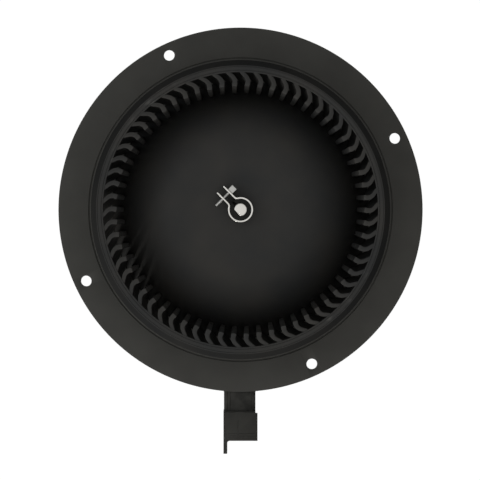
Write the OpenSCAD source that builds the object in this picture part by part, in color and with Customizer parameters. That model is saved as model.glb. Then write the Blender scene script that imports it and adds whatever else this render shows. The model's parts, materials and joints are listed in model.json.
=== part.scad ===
/* [Mounting flange] */
// Outer diameter of the mounting flange
flange_d = 197.2; // [190:0.2:210]
// Thickness of the flange plate
flange_t = 3; // [2.5:0.1:4]
// Diameter of the circle that the four screw holes lie on
hole_pcd = 184.2; // [182:0.2:186]
// Diameter of each screw hole
hole_d = 5.8; // [4.5:0.1:6.5]
// Angle of the first screw hole, counter-clockwise from +X
hole_angle = 24.8; // [20:0.1:30]
// Depth of the dish behind the wheel
dish_depth = 5.5; // [4:0.5:7]

/* [Wheel] */
// Outside diameter of the wheel
wheel_d = 151; // [150:0.5:152]
// Height of the inlet face of the wheel above the flange
inlet_z = 66; // [65:0.5:70]
// Height of the bottom edge of the wheel above the flange
wheel_z = 8; // [7:0.5:9]
// Number of vanes
vane_count = 62; // [50:1:64]
// Height of the crown of the dome above the flange
dome_z = 52; // [51.5:0.1:52]
// Wall thickness of the dome
dome_t = 2; // [1.6:0.1:2.4]

/* [Hub clamp] */
// Direction that the clamp ears point in
clamp_angle = 135; // [0:5:355]
// Width of the clamp strap along the shaft
clamp_w = 6; // [5:0.5:6.5]
// Distance from the shaft axis to the clamp screw
screw_reach = 10.2; // [9.5:0.1:11]

/* [Motor] */
// Diameter of the motor shaft
shaft_d = 6.35; // [6:0.05:6.5]
// Outside diameter of the motor can
can_d = 68; // [67.5:0.1:68]
// Wall thickness of the motor can
can_t = 1.6; // [1.4:0.1:1.7]
// Number of slots in the armature and bars on the commutator
slot_count = 12; // [10:1:14]

/* [Connector] */
// Distance from the shaft axis to the start of the connector body
plug_start = 109.4; // [106:0.1:112]
// Length of the connector body
plug_len = 15.9; // [14:0.1:18]
// Length of the guide fin past the mouth of the connector
fin_len = 7; // [4:0.1:9]

/* [Hidden] */

$fn = 96;
eps = 0.01;
far = 400;

// Colours
plastic_black = [0.12, 0.12, 0.115];
wheel_black = [0.1, 0.1, 0.1];
steel = [0.82, 0.81, 0.78];
zinc = [0.6, 0.62, 0.62];
copper = [0.72, 0.4, 0.22];
brass = [0.8, 0.66, 0.34];

// Flange moulding
flange_r = flange_d / 2;
dish_r = 76.5;
dish_wall = 2.5;
pocket_r = 39;
pocket_t = 2.5;
pocket_out = pocket_r + pocket_t;
pocket_z = -42;
pocket_top = 0.5;
pocket_lip_r = 35.2;
pocket_lip_t = 2;
floor_z = -dish_depth;
floor_t = 2.5;
rib_t = 2;
rib_count = 12;
rib_depth = 16;
fix_angles = [90, 210, 330];
fix_r = 47;
boss_r = 4.2;
boss_z = -38;
thread_r = 1.7;
thread_len = 12;

// Arm that carries the leads out to the connector
arm_x = [-9, 8.1];
arm_mid = (arm_x[0] + arm_x[1]) / 2;
arm_wall = 2;
arm_front = -flange_t;
arm_back = -15;
wire_z = -10.5;
wire_r = 1;
wire_gap = 3.3;

// Connector
lip_x = 9.2;
lip_t = 3;
lip_step = 1;
shell_z = [-18, -1];
shell_wall = 2;
socket_depth = 12.8;
plug_end = plug_start + plug_len;
fin_x = [-9.25, -7.25];
fin_z = -13;
fin_fillet = 1.35;
spigot_len = 5;
spigot_gap = 0.15;
blade_w = 4.8;
blade_t = 0.8;
blade_end = plug_end - 3.5;
barrel_r = 1.6;
barrel_len = 6;

// Rear cover
cover_z = -44.5;
cover_t = 2.5;
skirt_gap = 0.2;
skirt_t = 2.2;
skirt_top = -38.2;
skirt_in = pocket_out + skirt_gap;
skirt_out = skirt_in + skirt_t;
ear_t = 2.5;
head_r = 3;
head_t = 2.2;
recess_reach = 1.8;
recess_half = 0.4;
recess_depth = 1.1;
vent_count = 6;
vent_r = [15, 31];
vent_half = 12;
ring_gap = 0.2;
ring_wall = 1.8;

// Motor can and bearings
can_r = can_d / 2;
can_in = can_r - can_t;
can_z = [-32.5, 38];
can_round = 4;
cup_in = 7;
cup_out = 8.6;
shaft_r = shaft_d / 2;
running = 0.03;
ball_r = 6.98;
ball_h = 7;
front_ball_z = 38;
rear_ball_z = -35.5;
front_cup_z = 42.5;
rear_cup_z = -41;
cup_lip = 0.8;
shaft_hole = 4;
clip_r = 12;
clip_in = 5.2;
clip_t = 0.5;
clip_seat = 33.6;
can_vent_at = 21;
can_vent_r = 4;
bell_vent_at = 20;
bell_vent_r = 3.5;
lead_at = [6.5, -27];
lead_hole = 1.6;
bell_top = can_z[0] + can_t;

// Field and armature
magnet_in = 26.9;
magnet_z = [-8, 28];
magnet_arc = 125;
core_r = 26.3;
core_z = [-3, 23];
winding_r = [8, 24.5];
winding_end = 6.5;
slot_r = 3.4;
slot_at = 19.6;
slot_mouth = 2;
bar_r = [7.5, 11];
bar_z = [-25, -11];
bar_gap = 0.7;
riser_r = 12.5;
riser_t = 1.5;
washer_r = 4.8;
washer_t = 1.5;
washer_gap = 0.3;

// Brush gear
card_z = -23.6;
card_t = 2;
card_r = 31.5;
card_hole = 13;
post_r = 2.2;
post_at = 28;
card_hole_at = 20;
card_hole_r = 2;
brush_z = -18;
brush_w = 6;
brush_h = 8.9;
brush_in = 11.15;
brush_out = 21.15;
slide_gap = 0.15;
box_y = [13.4, 29.8];
box_t = 0.8;
shunt_r = 0.5;
shunt_hole = 0.9;
spring_r = 2.3;
spring_wire = 0.35;
spring_turns = 5;
choke_at = 21;
choke_z = -20.4;
choke_angles = [45, 225];
ferrite_r = 2;
ferrite_len = 14;
choke_r = 3.1;
choke_len = 10;
capacitor_angle = 135;
capacitor_r = [19, 23];
capacitor_half = 4;
capacitor_h = 6;

// Wheel
wheel_r = wheel_d / 2;
ring_in = 68.8;
ring_mid = 72.2;
rim_drop = 5;
rim_t = 1.7;
vane_out = 74;
vane_in = 61;
mouth_r = 62;
dome_r = 60;
dome_drop = 25;
dome_power = 4;
plate_t = 2;
collar_r = 5.5;
collar_z = 60;
collar_slot = 1.2;
hub_boss_r = 8;
hub_boss_z = 45;
hub_rib_count = 6;
hub_rib_reach = 24;
hub_rib_half = 0.8;
flat_at = 2.31;
flat_angle = 225;
shaft_tip = 61;
shaft_tail = -39.6;

// Hub clamp
strap_t = 0.85;
ear_gap = 1.865;
ear_strip = 0.8;
ear_reach = 14.4;
clamp_z = collar_z - clamp_w;
screw_r = 0.8;
screw_head_half = 1.6;
screw_head = 3.3;
screw_tail = 7.45;
hex_r = 0.9;
hex_depth = 1.4;

// ---------- shared shapes ----------

// Tube between two heights
module tube(r_out, r_in, z0, z1) {
    translate([0, 0, z0])
    difference() {
        cylinder(h = z1 - z0, r = r_out);
        translate([0, 0, -1])
        cylinder(h = z1 - z0 + 2, r = r_in);
    }
}

// Arc-shaped wall between two radii and two angles
module arc_wall(r_out, r_in, z0, z1, a0, a1) {
    rotate([0, 0, a0])
    rotate_extrude(angle = a1 - a0)
    translate([r_in, z0])
    square([r_out - r_in, z1 - z0]);
}

// Box given by its low and high corners
module box(low, high) {
    translate(low)
    cube(high - low);
}

// Shaft outline with its flat, standing from z0 to z1
module d_shaft(z0, z1) {
    difference() {
        translate([0, 0, z0])
        cylinder(h = z1 - z0, r = shaft_r);
        rotate([0, 0, flat_angle])
        box([flat_at, -far / 20, z0 - 1], [far / 20, far / 20, z1 + 1]);
    }
}

// Tube of round section swept through a list of points, which never run along the across direction
function unit(v) = v / norm(v);
function heading(path, i) = unit(path[min(i + 1, len(path) - 1)] - path[max(i - 1, 0)]);
module sweep(path, r, sides, across) {
    rings = [for (i = [0 : len(path) - 1])
        let (d = heading(path, i), u = unit(cross(d, across)), v = cross(d, u))
        for (k = [0 : sides - 1])
            path[i] + r * (cos(360 * k / sides) * u + sin(360 * k / sides) * v)];
    last = (len(path) - 1) * sides;
    walls = [for (i = [0 : len(path) - 2]) for (k = [0 : sides - 1])
        let (n = (k + 1) % sides)
        [i * sides + k, (i + 1) * sides + k, (i + 1) * sides + n, i * sides + n]];
    caps = [[for (k = [0 : sides - 1]) k], [for (k = [sides - 1 : -1 : 0]) last + k]];
    polyhedron(points = rings, faces = concat(walls, caps), convexity = 4);
}

// ---------- flange, cover and connector ----------

module flange_dish() {
    rotate_extrude()
    polygon([[pocket_lip_r, pocket_top], [pocket_out, pocket_top], [pocket_out, floor_z],
        [dish_r, floor_z], [dish_r, 0], [flange_r, 0], [flange_r, -flange_t],
        [dish_r + dish_wall, -flange_t], [dish_r + dish_wall, floor_z - floor_t],
        [pocket_out, floor_z - floor_t], [pocket_out, pocket_z], [pocket_r, pocket_z],
        [pocket_r, pocket_top - pocket_lip_t], [pocket_lip_r, pocket_top - pocket_lip_t]]);
}

module flange_rib() {
    rotate([90, 0, 0])
    translate([0, 0, -rib_t / 2])
    linear_extrude(rib_t)
    polygon([[pocket_out - 1, floor_z - 1], [dish_r + 1, floor_z - 1],
        [dish_r, floor_z - floor_t - 1], [pocket_out - 1, floor_z - rib_depth]]);
}

module arm_channel() {
    difference() {
        box([arm_x[0], -plug_start, arm_back], [arm_x[1], -pocket_r - 1, arm_front]);
        box([arm_x[0] + arm_wall, -far, arm_back - 1],
            [arm_x[1] - arm_wall, 0, arm_front - arm_wall]);
        translate([0, 0, floor_z - eps])
        cylinder(h = far, r = dish_r + 1);
    }
}

module mounting_flange() color(plastic_black) {
    difference() {
        union() {
            flange_dish();
            for (k = [0 : rib_count - 1])
                rotate([0, 0, (k + 0.5) * 360 / rib_count])
                flange_rib();
            arm_channel();
            for (a = fix_angles)
                rotate([0, 0, a]) {
                    translate([fix_r, 0, boss_z])
                    cylinder(h = floor_z - 1 - boss_z, r = boss_r);
                    box([pocket_r + 1, -rib_t, boss_z], [fix_r, rib_t, floor_z - 1]);
                }
        }
        for (k = [0 : 3])
            rotate([0, 0, hole_angle + 90 * k])
            translate([hole_pcd / 2, 0, -flange_t - 1])
            cylinder(h = flange_t + 2, d = hole_d);
        for (a = fix_angles)
            rotate([0, 0, a])
            translate([fix_r, 0, boss_z - 1])
            cylinder(h = thread_len + 1, r = thread_r, $fn = 32);
        box([arm_x[0] + arm_wall, -pocket_out - 2, wire_z - 3.5],
            [arm_x[1] - arm_wall, 1 - pocket_r, floor_z - floor_t]);
    }
}

module rear_cover() color(plastic_black) {
    difference() {
        union() {
            translate([0, 0, cover_z])
            cylinder(h = cover_t, r = skirt_out);
            tube(skirt_out, skirt_in, cover_z, skirt_top);
            tube(pocket_r - ring_gap, pocket_r - ring_gap - ring_wall, cover_z + 1, boss_z);
            for (a = fix_angles)
                rotate([0, 0, a])
                difference() {
                    union() {
                        translate([fix_r, 0, boss_z - ear_t])
                        cylinder(h = ear_t, r = boss_r);
                        box([skirt_in + 1, -boss_r, boss_z - ear_t], [fix_r, boss_r, boss_z]);
                    }
                    cylinder(h = far, r = skirt_in + 0.5, center = true);
                }
        }
        for (k = [0 : vent_count - 1])
            rotate([0, 0, (k + 0.5) * 360 / vent_count])
            translate([0, 0, cover_z - 1])
            arc_wall(vent_r[1], vent_r[0], 0, cover_t + 2, -vent_half, vent_half);
        for (a = fix_angles)
            rotate([0, 0, a])
            translate([fix_r, 0, boss_z - ear_t - 1])
            cylinder(h = ear_t + 2, r = thread_r + 0.2, $fn = 32);
    }
}

module cover_screws() color(zinc)
    for (a = fix_angles)
        rotate([0, 0, a])
        translate([fix_r, 0, boss_z - ear_t]) {
            cylinder(h = thread_len - 1, r = thread_r, $fn = 32);
            difference() {
                translate([0, 0, -head_t])
                cylinder(h = head_t, r = head_r);
                for (t = [0, 90])
                    rotate([0, 0, t])
                    box([-recess_reach, -recess_half, -head_t - 1],
                        [recess_reach, recess_half, -head_t + recess_depth]);
            }
        }

module motor_isolators() color([0.09, 0.09, 0.09])
    for (a = fix_angles)
        rotate([0, 0, a - 22])
        rotate_extrude(angle = 44)
        polygon([[can_r, pocket_top - pocket_lip_t], [pocket_r, pocket_top - pocket_lip_t],
            [pocket_r, boss_z], [can_in - 2, boss_z], [can_in - 2, can_z[0]],
            [can_r, can_z[0]]]);

module shell_outline() {
    difference() {
        polygon([[fin_x[0], -plug_start], [arm_x[1], -plug_start], [arm_x[1], -plug_end],
            [fin_x[1] + fin_fillet, -plug_end], [fin_x[1], -plug_end - fin_fillet],
            [fin_x[1], -plug_end - fin_len], [fin_x[0], -plug_end - fin_len]]);
        translate([fin_x[1] + fin_fillet, -plug_end - fin_fillet])
        circle(r = fin_fillet, $fn = 48);
    }
}

module connector_shell() color(plastic_black) {
    difference() {
        union() {
            translate([0, 0, fin_z])
            linear_extrude(shell_z[1] - fin_z)
            shell_outline();
            box([arm_x[0], -plug_end, shell_z[0]], [arm_x[1], -plug_start, fin_z + 1]);
            box([arm_x[1] - 1, -plug_end, shell_z[1] - lip_t],
                [lip_x, -plug_start - lip_step, shell_z[1]]);
            box([arm_x[0] + arm_wall + spigot_gap, -plug_start - 1, arm_back + 1],
                [arm_x[1] - arm_wall - spigot_gap, -plug_start + spigot_len,
                arm_front - arm_wall - spigot_gap]);
        }
        box([arm_x[0] + shell_wall, -far, shell_z[0] + shell_wall],
            [arm_x[1] - shell_wall, -plug_end + socket_depth, shell_z[1] - shell_wall]);
        for (s = [-1, 1])
            translate([arm_mid + s * wire_gap, 0, wire_z]) {
                box([-blade_w / 2, -plug_end, -blade_t / 2], [blade_w / 2, -plug_start, blade_t / 2]);
                rotate([90, 0, 0])
                translate([0, 0, plug_start - far / 10])
                cylinder(h = far / 10, r = barrel_r, $fn = 32);
            }
    }
}

module terminal_blades() color(brass)
    for (s = [-1, 1])
        translate([arm_mid + s * wire_gap, 0, wire_z]) {
            difference() {
                box([-blade_w / 2, -blade_end, -blade_t / 2], [blade_w / 2, -plug_start, blade_t / 2]);
                translate([0, -blade_end + 3, 0])
                cylinder(h = 2, r = 0.8, center = true, $fn = 24);
            }
            rotate([90, 0, 0])
            translate([0, 0, plug_start - barrel_len])
            cylinder(h = barrel_len, r = barrel_r, $fn = 32);
        }

// Route of one lead from its crimp to the brush card, on the side given by s
function lead_path(s) = let (x = arm_mid + s * wire_gap) [
    [x, -plug_start + barrel_len, wire_z], [x, -95, wire_z], [x, -80, wire_z - 0.4],
    [x, -62, wire_z - 0.4], [x, -48, wire_z], [x, -41, wire_z - 0.5], [x + s * 0.2, -38, wire_z - 2.5],
    [x + s * 0.4, -36.6, -17], [x + s * 0.8, -36.4, -26], [x + s * 1.4, -36, -33],
    [s * 5.5, -33.5, -36], [s * 6.2, -30, -36.4], [s * 6.5, -27.6, -35], [s * 6.5, -27, -32],
    [s * lead_at[0], lead_at[1], card_z - card_t]];

module lead_wires() color([0.16, 0.02, 0.02])
    for (s = [-1, 1])
        sweep(lead_path(s), wire_r, 10, [1, 0, 0]);

// ---------- motor ----------

module can_shell() {
    steps = 6;
    outer = [for (i = [0 : steps]) let (a = 90 * i / steps)
        [can_r - can_round + can_round * cos(a), can_z[1] - can_round + can_round * sin(a)]];
    bend = can_round - can_t;
    inner = [for (i = [steps : -1 : 0]) let (a = 90 * i / steps)
        [can_r - can_round + bend * cos(a), can_z[1] - can_round + bend * sin(a)]];
    rotate_extrude()
    polygon(concat([[can_in, can_z[0]], [can_r, can_z[0]]], outer,
        [[cup_out, can_z[1]], [cup_out, front_cup_z], [shaft_hole, front_cup_z],
        [shaft_hole, front_cup_z - cup_lip], [cup_in, front_cup_z - cup_lip],
        [cup_in, can_z[1] - can_t]], inner));
}

module motor_can() color(zinc)
    difference() {
        can_shell();
        for (k = [0 : 3])
            rotate([0, 0, 45 + 90 * k])
            translate([can_vent_at, 0, can_z[1] - can_t - 1])
            cylinder(h = can_t + 2, r = can_vent_r);
    }

module field_magnets() color([0.22, 0.22, 0.23])
    for (a = [0, 180])
        rotate([0, 0, a])
        arc_wall(can_in, magnet_in, magnet_z[0], magnet_z[1], -magnet_arc / 2, magnet_arc / 2);

module magnet_clips() color(steel)
    for (a = [90, 270])
        rotate([0, 0, a])
        arc_wall(can_in, can_in - 1, magnet_z[0] + 4, magnet_z[1] - 4,
            magnet_arc / 2 - 90, 90 - magnet_arc / 2);

// Self-aligning sleeve bearing: a ball with flat ends and a bore
module sleeve_bearing(z)
    translate([0, 0, z])
    difference() {
        intersection() {
            sphere(r = ball_r);
            cylinder(h = ball_h, r = far, center = true);
        }
        cylinder(h = ball_h + 2, r = shaft_r + running, center = true);
    }

module front_bearing() color(brass)
    sleeve_bearing(front_ball_z);

module rear_bearing() color(brass)
    sleeve_bearing(rear_ball_z);

module front_bearing_clip() color(steel)
    rotate_extrude()
    polygon([[clip_r, can_z[1] - can_t], [clip_r, can_z[1] - can_t - clip_t],
        [cup_in + 0.6, can_z[1] - can_t - clip_t], [cup_in - 0.7, clip_seat], [clip_in, clip_seat],
        [clip_in, clip_seat + clip_t], [cup_in - 0.9, clip_seat + clip_t],
        [cup_in + 0.15, can_z[1] - can_t]]);

module rear_bearing_clip() color(steel)
    rotate_extrude()
    polygon([[clip_r, bell_top], [clip_r, bell_top + clip_t], [cup_in - 0.2, bell_top + clip_t],
        [clip_in, bell_top - clip_t], [clip_in, bell_top - 2 * clip_t],
        [cup_in - 0.2, bell_top]]);

module end_bell() color(zinc)
    difference() {
        union() {
            translate([0, 0, can_z[0]])
            cylinder(h = can_t, r = can_in);
            translate([0, 0, rear_cup_z])
            cylinder(h = can_z[0] - rear_cup_z + can_t, r = cup_out);
        }
        translate([0, 0, rear_cup_z + cup_lip])
        cylinder(h = far, r = cup_in);
        for (k = [0 : 3])
            rotate([0, 0, 45 + 90 * k])
            translate([bell_vent_at, 0, can_z[0] - 1])
            cylinder(h = can_t + 2, r = bell_vent_r);
        for (s = [-1, 1])
            translate([s * lead_at[0], lead_at[1], can_z[0] - 1])
            cylinder(h = can_t + 2, r = lead_hole, $fn = 32);
    }

// ---------- brush gear ----------

module brush_card() color([0.35, 0.2, 0.1])
    difference() {
        union() {
            tube(card_r, card_hole, card_z - card_t, card_z);
            for (k = [0 : 2])
                rotate([0, 0, 30 + 120 * k])
                translate([post_at, 0, bell_top])
                cylinder(h = card_z - card_t - bell_top + 1, r = post_r, $fn = 48);
        }
        for (a = [0, 180])
            rotate([0, 0, a])
            translate([card_hole_at, 0, card_z - card_t - 1])
            cylinder(h = card_t + 2, r = card_hole_r, $fn = 48);
    }

// Brush box, lying along +Y
module brush_box() {
    half_w = brush_w / 2 + slide_gap;
    half_h = brush_h / 2 + slide_gap;
    difference() {
        box([-half_w - box_t, box_y[0], card_z], [half_w + box_t, box_y[1], brush_z + half_h + box_t]);
        box([-half_w, 0, brush_z - half_h], [half_w, box_y[1] - box_t, brush_z + half_h]);
        translate([0, 0, brush_z])
        rotate([-90, 0, 0])
        cylinder(h = far, r = shunt_hole, $fn = 32);
    }
}

module brush_boxes() color(brass)
    for (a = [0, 180])
        rotate([0, 0, a])
        brush_box();

// Carbon brush whose inner face follows the commutator
module carbon_brush()
    difference() {
        box([-brush_w / 2, 0, brush_z - brush_h / 2], [brush_w / 2, brush_out, brush_z + brush_h / 2]);
        cylinder(h = far, r = brush_in, center = true);
    }

module carbon_brush_a() color([0.2, 0.2, 0.21])
    carbon_brush();

module carbon_brush_b() color([0.2, 0.2, 0.21])
    rotate([0, 0, 180])
    carbon_brush();

// Coil spring between the back of a brush and the end of its box
module brush_spring() {
    y0 = brush_out + spring_wire + 0.05;
    y1 = box_y[1] - box_t - spring_wire - 0.05;
    steps = spring_turns * 12;
    path = [for (i = [0 : steps]) let (a = 30 * i)
        [spring_r * cos(a), y0 + (y1 - y0) * i / steps, brush_z + spring_r * sin(a)]];
    sweep(path, spring_wire, 6, [0, 1, 0]);
}

module brush_spring_a() color(steel)
    brush_spring();

module brush_spring_b() color(steel)
    rotate([0, 0, 180])
    brush_spring();

// Braided lead from the back of a brush, through its spring, to the card
shunt_bend = 1.2;
shunt_path = concat(
    [[0, brush_out, brush_z], [0, 24, brush_z], [0, 27, brush_z]],
    [for (i = [0 : 4]) let (a = 22.5 * i)
        [0, 29.6 + shunt_bend * sin(a), brush_z - shunt_bend + shunt_bend * cos(a)]],
    [[0, 29.6 + shunt_bend, card_z]]);

module brush_shunt_a() color(copper)
    sweep(shunt_path, shunt_r, 8, [1, 0, 0]);

module brush_shunt_b() color(copper)
    rotate([0, 0, 180])
    sweep(shunt_path, shunt_r, 8, [1, 0, 0]);

// Rod lying across the radius at the place of a choke
module choke_rod(r, len, a)
    rotate([0, 0, a])
    translate([choke_at, 0, choke_z])
    rotate([90, 0, 0])
    cylinder(h = len, r = r, center = true, $fn = 48);

module choke_cores() color([0.25, 0.25, 0.26])
    for (a = choke_angles)
        choke_rod(ferrite_r, ferrite_len, a);

module choke_windings() color(copper)
    for (a = choke_angles)
        difference() {
            choke_rod(choke_r, choke_len, a);
            choke_rod(ferrite_r, choke_len + 2, a);
        }

module noise_capacitor() color([0.55, 0.3, 0.12])
    rotate([0, 0, capacitor_angle])
    box([capacitor_r[0], -capacitor_half, card_z],
        [capacitor_r[1], capacitor_half, card_z + capacitor_h]);

// ---------- rotor ----------

module rotor_shaft() color(steel) {
    translate([0, 0, shaft_tail])
    cylinder(h = hub_boss_z - shaft_tail, r = shaft_r);
    d_shaft(hub_boss_z, shaft_tip);
}

module slot_shapes(h)
    for (k = [0 : slot_count - 1])
        rotate([0, 0, 360 * k / slot_count])
        translate([slot_at, 0, core_z[0] - 1])
        cylinder(h = h, r = slot_r, $fn = 48);

module armature_core() color([0.4, 0.41, 0.42])
    difference() {
        tube(core_r, shaft_r, core_z[0], core_z[1]);
        slot_shapes(far);
        for (k = [0 : slot_count - 1])
            rotate([0, 0, 360 * k / slot_count])
            box([slot_at, -slot_mouth / 2, core_z[0] - 1], [core_r + 1, slot_mouth / 2, core_z[1] + 1]);
    }

module winding_head(z0, z1) {
    soft = 2;
    rotate_extrude()
    polygon([[winding_r[0], z0], [winding_r[1], z0], [winding_r[1], z1 - soft],
        [winding_r[1] - soft, z1], [winding_r[0] + soft, z1], [winding_r[0], z1 - soft]]);
}

module armature_windings() color(copper) {
    winding_head(core_z[1], core_z[1] + winding_end);
    translate([0, 0, core_z[0]])
    mirror([0, 0, 1])
    winding_head(0, winding_end);
    for (k = [0 : slot_count - 1])
        rotate([0, 0, 360 * k / slot_count])
        translate([slot_at, 0, core_z[0] - 1])
        cylinder(h = core_z[1] - core_z[0] + 2, r = slot_r - 0.4, $fn = 48);
}

module commutator_bars() color(copper)
    for (k = [0 : slot_count - 1])
        rotate([0, 0, 360 * k / slot_count])
        difference() {
            half = 180 / slot_count;
            union() {
                arc_wall(bar_r[1], bar_r[0], bar_z[0], bar_z[1], -half, half);
                arc_wall(riser_r, bar_r[0], bar_z[1], bar_z[1] + riser_t, -half, half);
            }
            for (s = [-1, 1])
                rotate([0, 0, s * half])
                box([0, -bar_gap / 2, bar_z[0] - 1], [far / 20, bar_gap / 2, bar_z[1] + riser_t + 1]);
        }

module commutator_core() color([0.3, 0.16, 0.08])
    tube(bar_r[0], shaft_r, bar_z[0] - 0.5, bar_z[1] + riser_t);

module thrust_washers() color([0.85, 0.82, 0.7]) {
    front = front_ball_z - ball_h / 2 - washer_gap;
    rear = rear_ball_z + ball_h / 2 + washer_gap;
    tube(washer_r, shaft_r, front - washer_t, front);
    tube(washer_r, shaft_r, rear, rear + washer_t);
}

// ---------- wheel ----------

// Height and steepness of the outside of the dome at radius r
function dome_height(r) = dome_z - dome_drop * pow(r / dome_r, dome_power);
function dome_slope(r) = atan(dome_drop * dome_power / dome_r * pow(r / dome_r, dome_power - 1));
function dome_inside(r) = [r - dome_t * sin(dome_slope(r)), dome_height(r) - dome_t * cos(dome_slope(r))];

// Radius at which the dome meets the top of the plate that the vanes stand on
plate_top = wheel_z + plate_t;
dome_foot = dome_r * pow((dome_z - plate_top) / dome_drop, 1 / dome_power);
dome_steps = 18;
dome_radii = [for (i = [0 : dome_steps]) collar_r + (dome_foot - collar_r) * sin(90 * i / dome_steps)];

module wheel_hub() color(wheel_black) {
    outside = [for (r = dome_radii) [r, dome_height(r)]];
    inside = [for (i = [dome_steps - 1 : -1 : 1]) dome_inside(dome_radii[i])];
    difference() {
        union() {
            rotate_extrude()
            polygon(concat([[0, collar_z], [collar_r, collar_z]], outside,
                [[ring_in, plate_top], [ring_in, wheel_z], [dome_foot - dome_t, wheel_z]],
                inside, [[hub_boss_r, dome_z - dome_t - 0.1], [hub_boss_r, hub_boss_z], [0, hub_boss_z]]));
            for (k = [0 : hub_rib_count - 1])
                rotate([0, 0, (k + 0.25) * 360 / hub_rib_count])
                box([hub_boss_r - 1, -hub_rib_half, hub_boss_z + 1],
                    [hub_rib_reach, hub_rib_half, dome_z - dome_t]);
        }
        d_shaft(hub_boss_z - 1, collar_z + 1);
        rotate([0, 0, clamp_angle])
        box([0, -collar_slot / 2, clamp_z - 1], [collar_r + 1, collar_slot / 2, collar_z + 1]);
    }
}

// One vane is a curved strip.  Each station is [radius, sideways offset, heading, half thickness]
bend_r = 3.9;
bend_at = [64.1, 3.42];
bend_end = 49;
bend_steps = 8;
tip_run = 10.6;
vane_stations = concat(
    [[vane_in - 1, 0.25, -5, 1.2]],
    [for (i = [0 : bend_steps]) let (a = -27 + (bend_end + 27) * i / bend_steps)
        [bend_at[0] + bend_r * sin(a), bend_at[1] - bend_r * cos(a), a, 1.3 - 0.3 * i / bend_steps]],
    [[bend_at[0] + bend_r * sin(bend_end) + tip_run * cos(bend_end),
        bend_at[1] - bend_r * cos(bend_end) + tip_run * sin(bend_end), bend_end, 0.7]]);

function vane_edge(s, turn) = [s[0] - turn * s[3] * sin(s[2]), s[1] + turn * s[3] * cos(s[2])];

module vane_outline() {
    count = len(vane_stations);
    polygon(concat([for (s = vane_stations) vane_edge(s, 1)],
        [for (i = [count - 1 : -1 : 0]) vane_edge(vane_stations[i], -1)]));
}

// Half section that trims the vanes to the dome, the plate and the rim
module vane_limits() {
    steps = 6;
    foot = [for (i = [0 : steps]) let (r = vane_in + (dome_foot - vane_in) * i / steps) [r, dome_height(r)]];
    rotate_extrude()
    polygon(concat([[mouth_r, inlet_z - 0.2]], foot, [[ring_in, plate_top], [ring_in, wheel_z],
        [vane_out, wheel_z], [vane_out, inlet_z - rim_drop - rim_t + 0.6],
        [ring_mid, inlet_z - rim_t], [ring_in, inlet_z - rim_t], [ring_in, inlet_z - 0.2]]));
}

module wheel_vanes() color(wheel_black)
    intersection() {
        union() {
            for (k = [0 : vane_count - 1])
                rotate([0, 0, 360 * k / vane_count])
                translate([0, 0, wheel_z - 1])
                linear_extrude(inlet_z - wheel_z + 2)
                vane_outline();
        }
        vane_limits();
    }

module wheel_rim() color(wheel_black)
    rotate_extrude()
    polygon([[ring_in, inlet_z], [ring_mid, inlet_z - 0.2], [wheel_r, inlet_z - rim_drop],
        [wheel_r, inlet_z - rim_drop - rim_t], [vane_out, inlet_z - rim_drop - rim_t + 0.6],
        [ring_mid, inlet_z - rim_t], [ring_in, inlet_z - rim_t]]);

// ---------- hub clamp ----------

module hub_clamp() color(steel)
    rotate([0, 0, clamp_angle])
    difference() {
        union() {
            tube(collar_r + strap_t, collar_r, clamp_z, collar_z);
            for (s = [-1, 1])
                translate([0, s * (ear_gap + ear_strip / 2), 0])
                box([collar_r, -ear_strip / 2, clamp_z], [ear_reach, ear_strip / 2, collar_z]);
        }
        box([0, -ear_gap, clamp_z - 1], [far / 10, ear_gap, collar_z + 1]);
        cylinder(h = far, r = collar_r, center = true);
        translate([screw_reach, 0, (clamp_z + collar_z) / 2])
        rotate([90, 0, 0])
        cylinder(h = far / 10, r = screw_r, center = true, $fn = 32);
    }

module clamp_screw() color(zinc) {
    seat = ear_gap + ear_strip;
    rotate([0, 0, clamp_angle])
    translate([screw_reach, 0, (clamp_z + collar_z) / 2])
    rotate([90, 0, 0]) {
        translate([0, 0, -screw_tail])
        cylinder(h = screw_tail + seat, r = screw_r, $fn = 32);
        difference() {
            box([-screw_head_half, -screw_head_half, seat],
                [screw_head_half, screw_head_half, seat + screw_head]);
            translate([0, 0, seat + screw_head - hex_depth])
            cylinder(h = hex_depth + 1, r = hex_r, $fn = 6);
        }
    }
}

mounting_flange();
rear_cover();
cover_screws();
motor_isolators();
connector_shell();
terminal_blades();
lead_wires();
motor_can();
field_magnets();
magnet_clips();
front_bearing();
front_bearing_clip();
end_bell();
rear_bearing();
rear_bearing_clip();
brush_card();
brush_boxes();
brush_spring_a();
brush_spring_b();
brush_shunt_a();
brush_shunt_b();
choke_cores();
choke_windings();
noise_capacitor();
rotor_shaft();
armature_core();
armature_windings();
commutator_bars();
commutator_core();
thrust_washers();
wheel_hub();
wheel_vanes();
wheel_rim();
hub_clamp();
clamp_screw();
carbon_brush_a();
carbon_brush_b();
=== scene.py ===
"""Blower motor with a squirrel-cage wheel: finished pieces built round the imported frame."""
import json
import logging
import math
from dataclasses import dataclass, field
from enum import Enum
from typing import Callable, Iterable, Sequence

import bmesh
import bpy
from mathutils import Matrix, Vector


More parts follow.
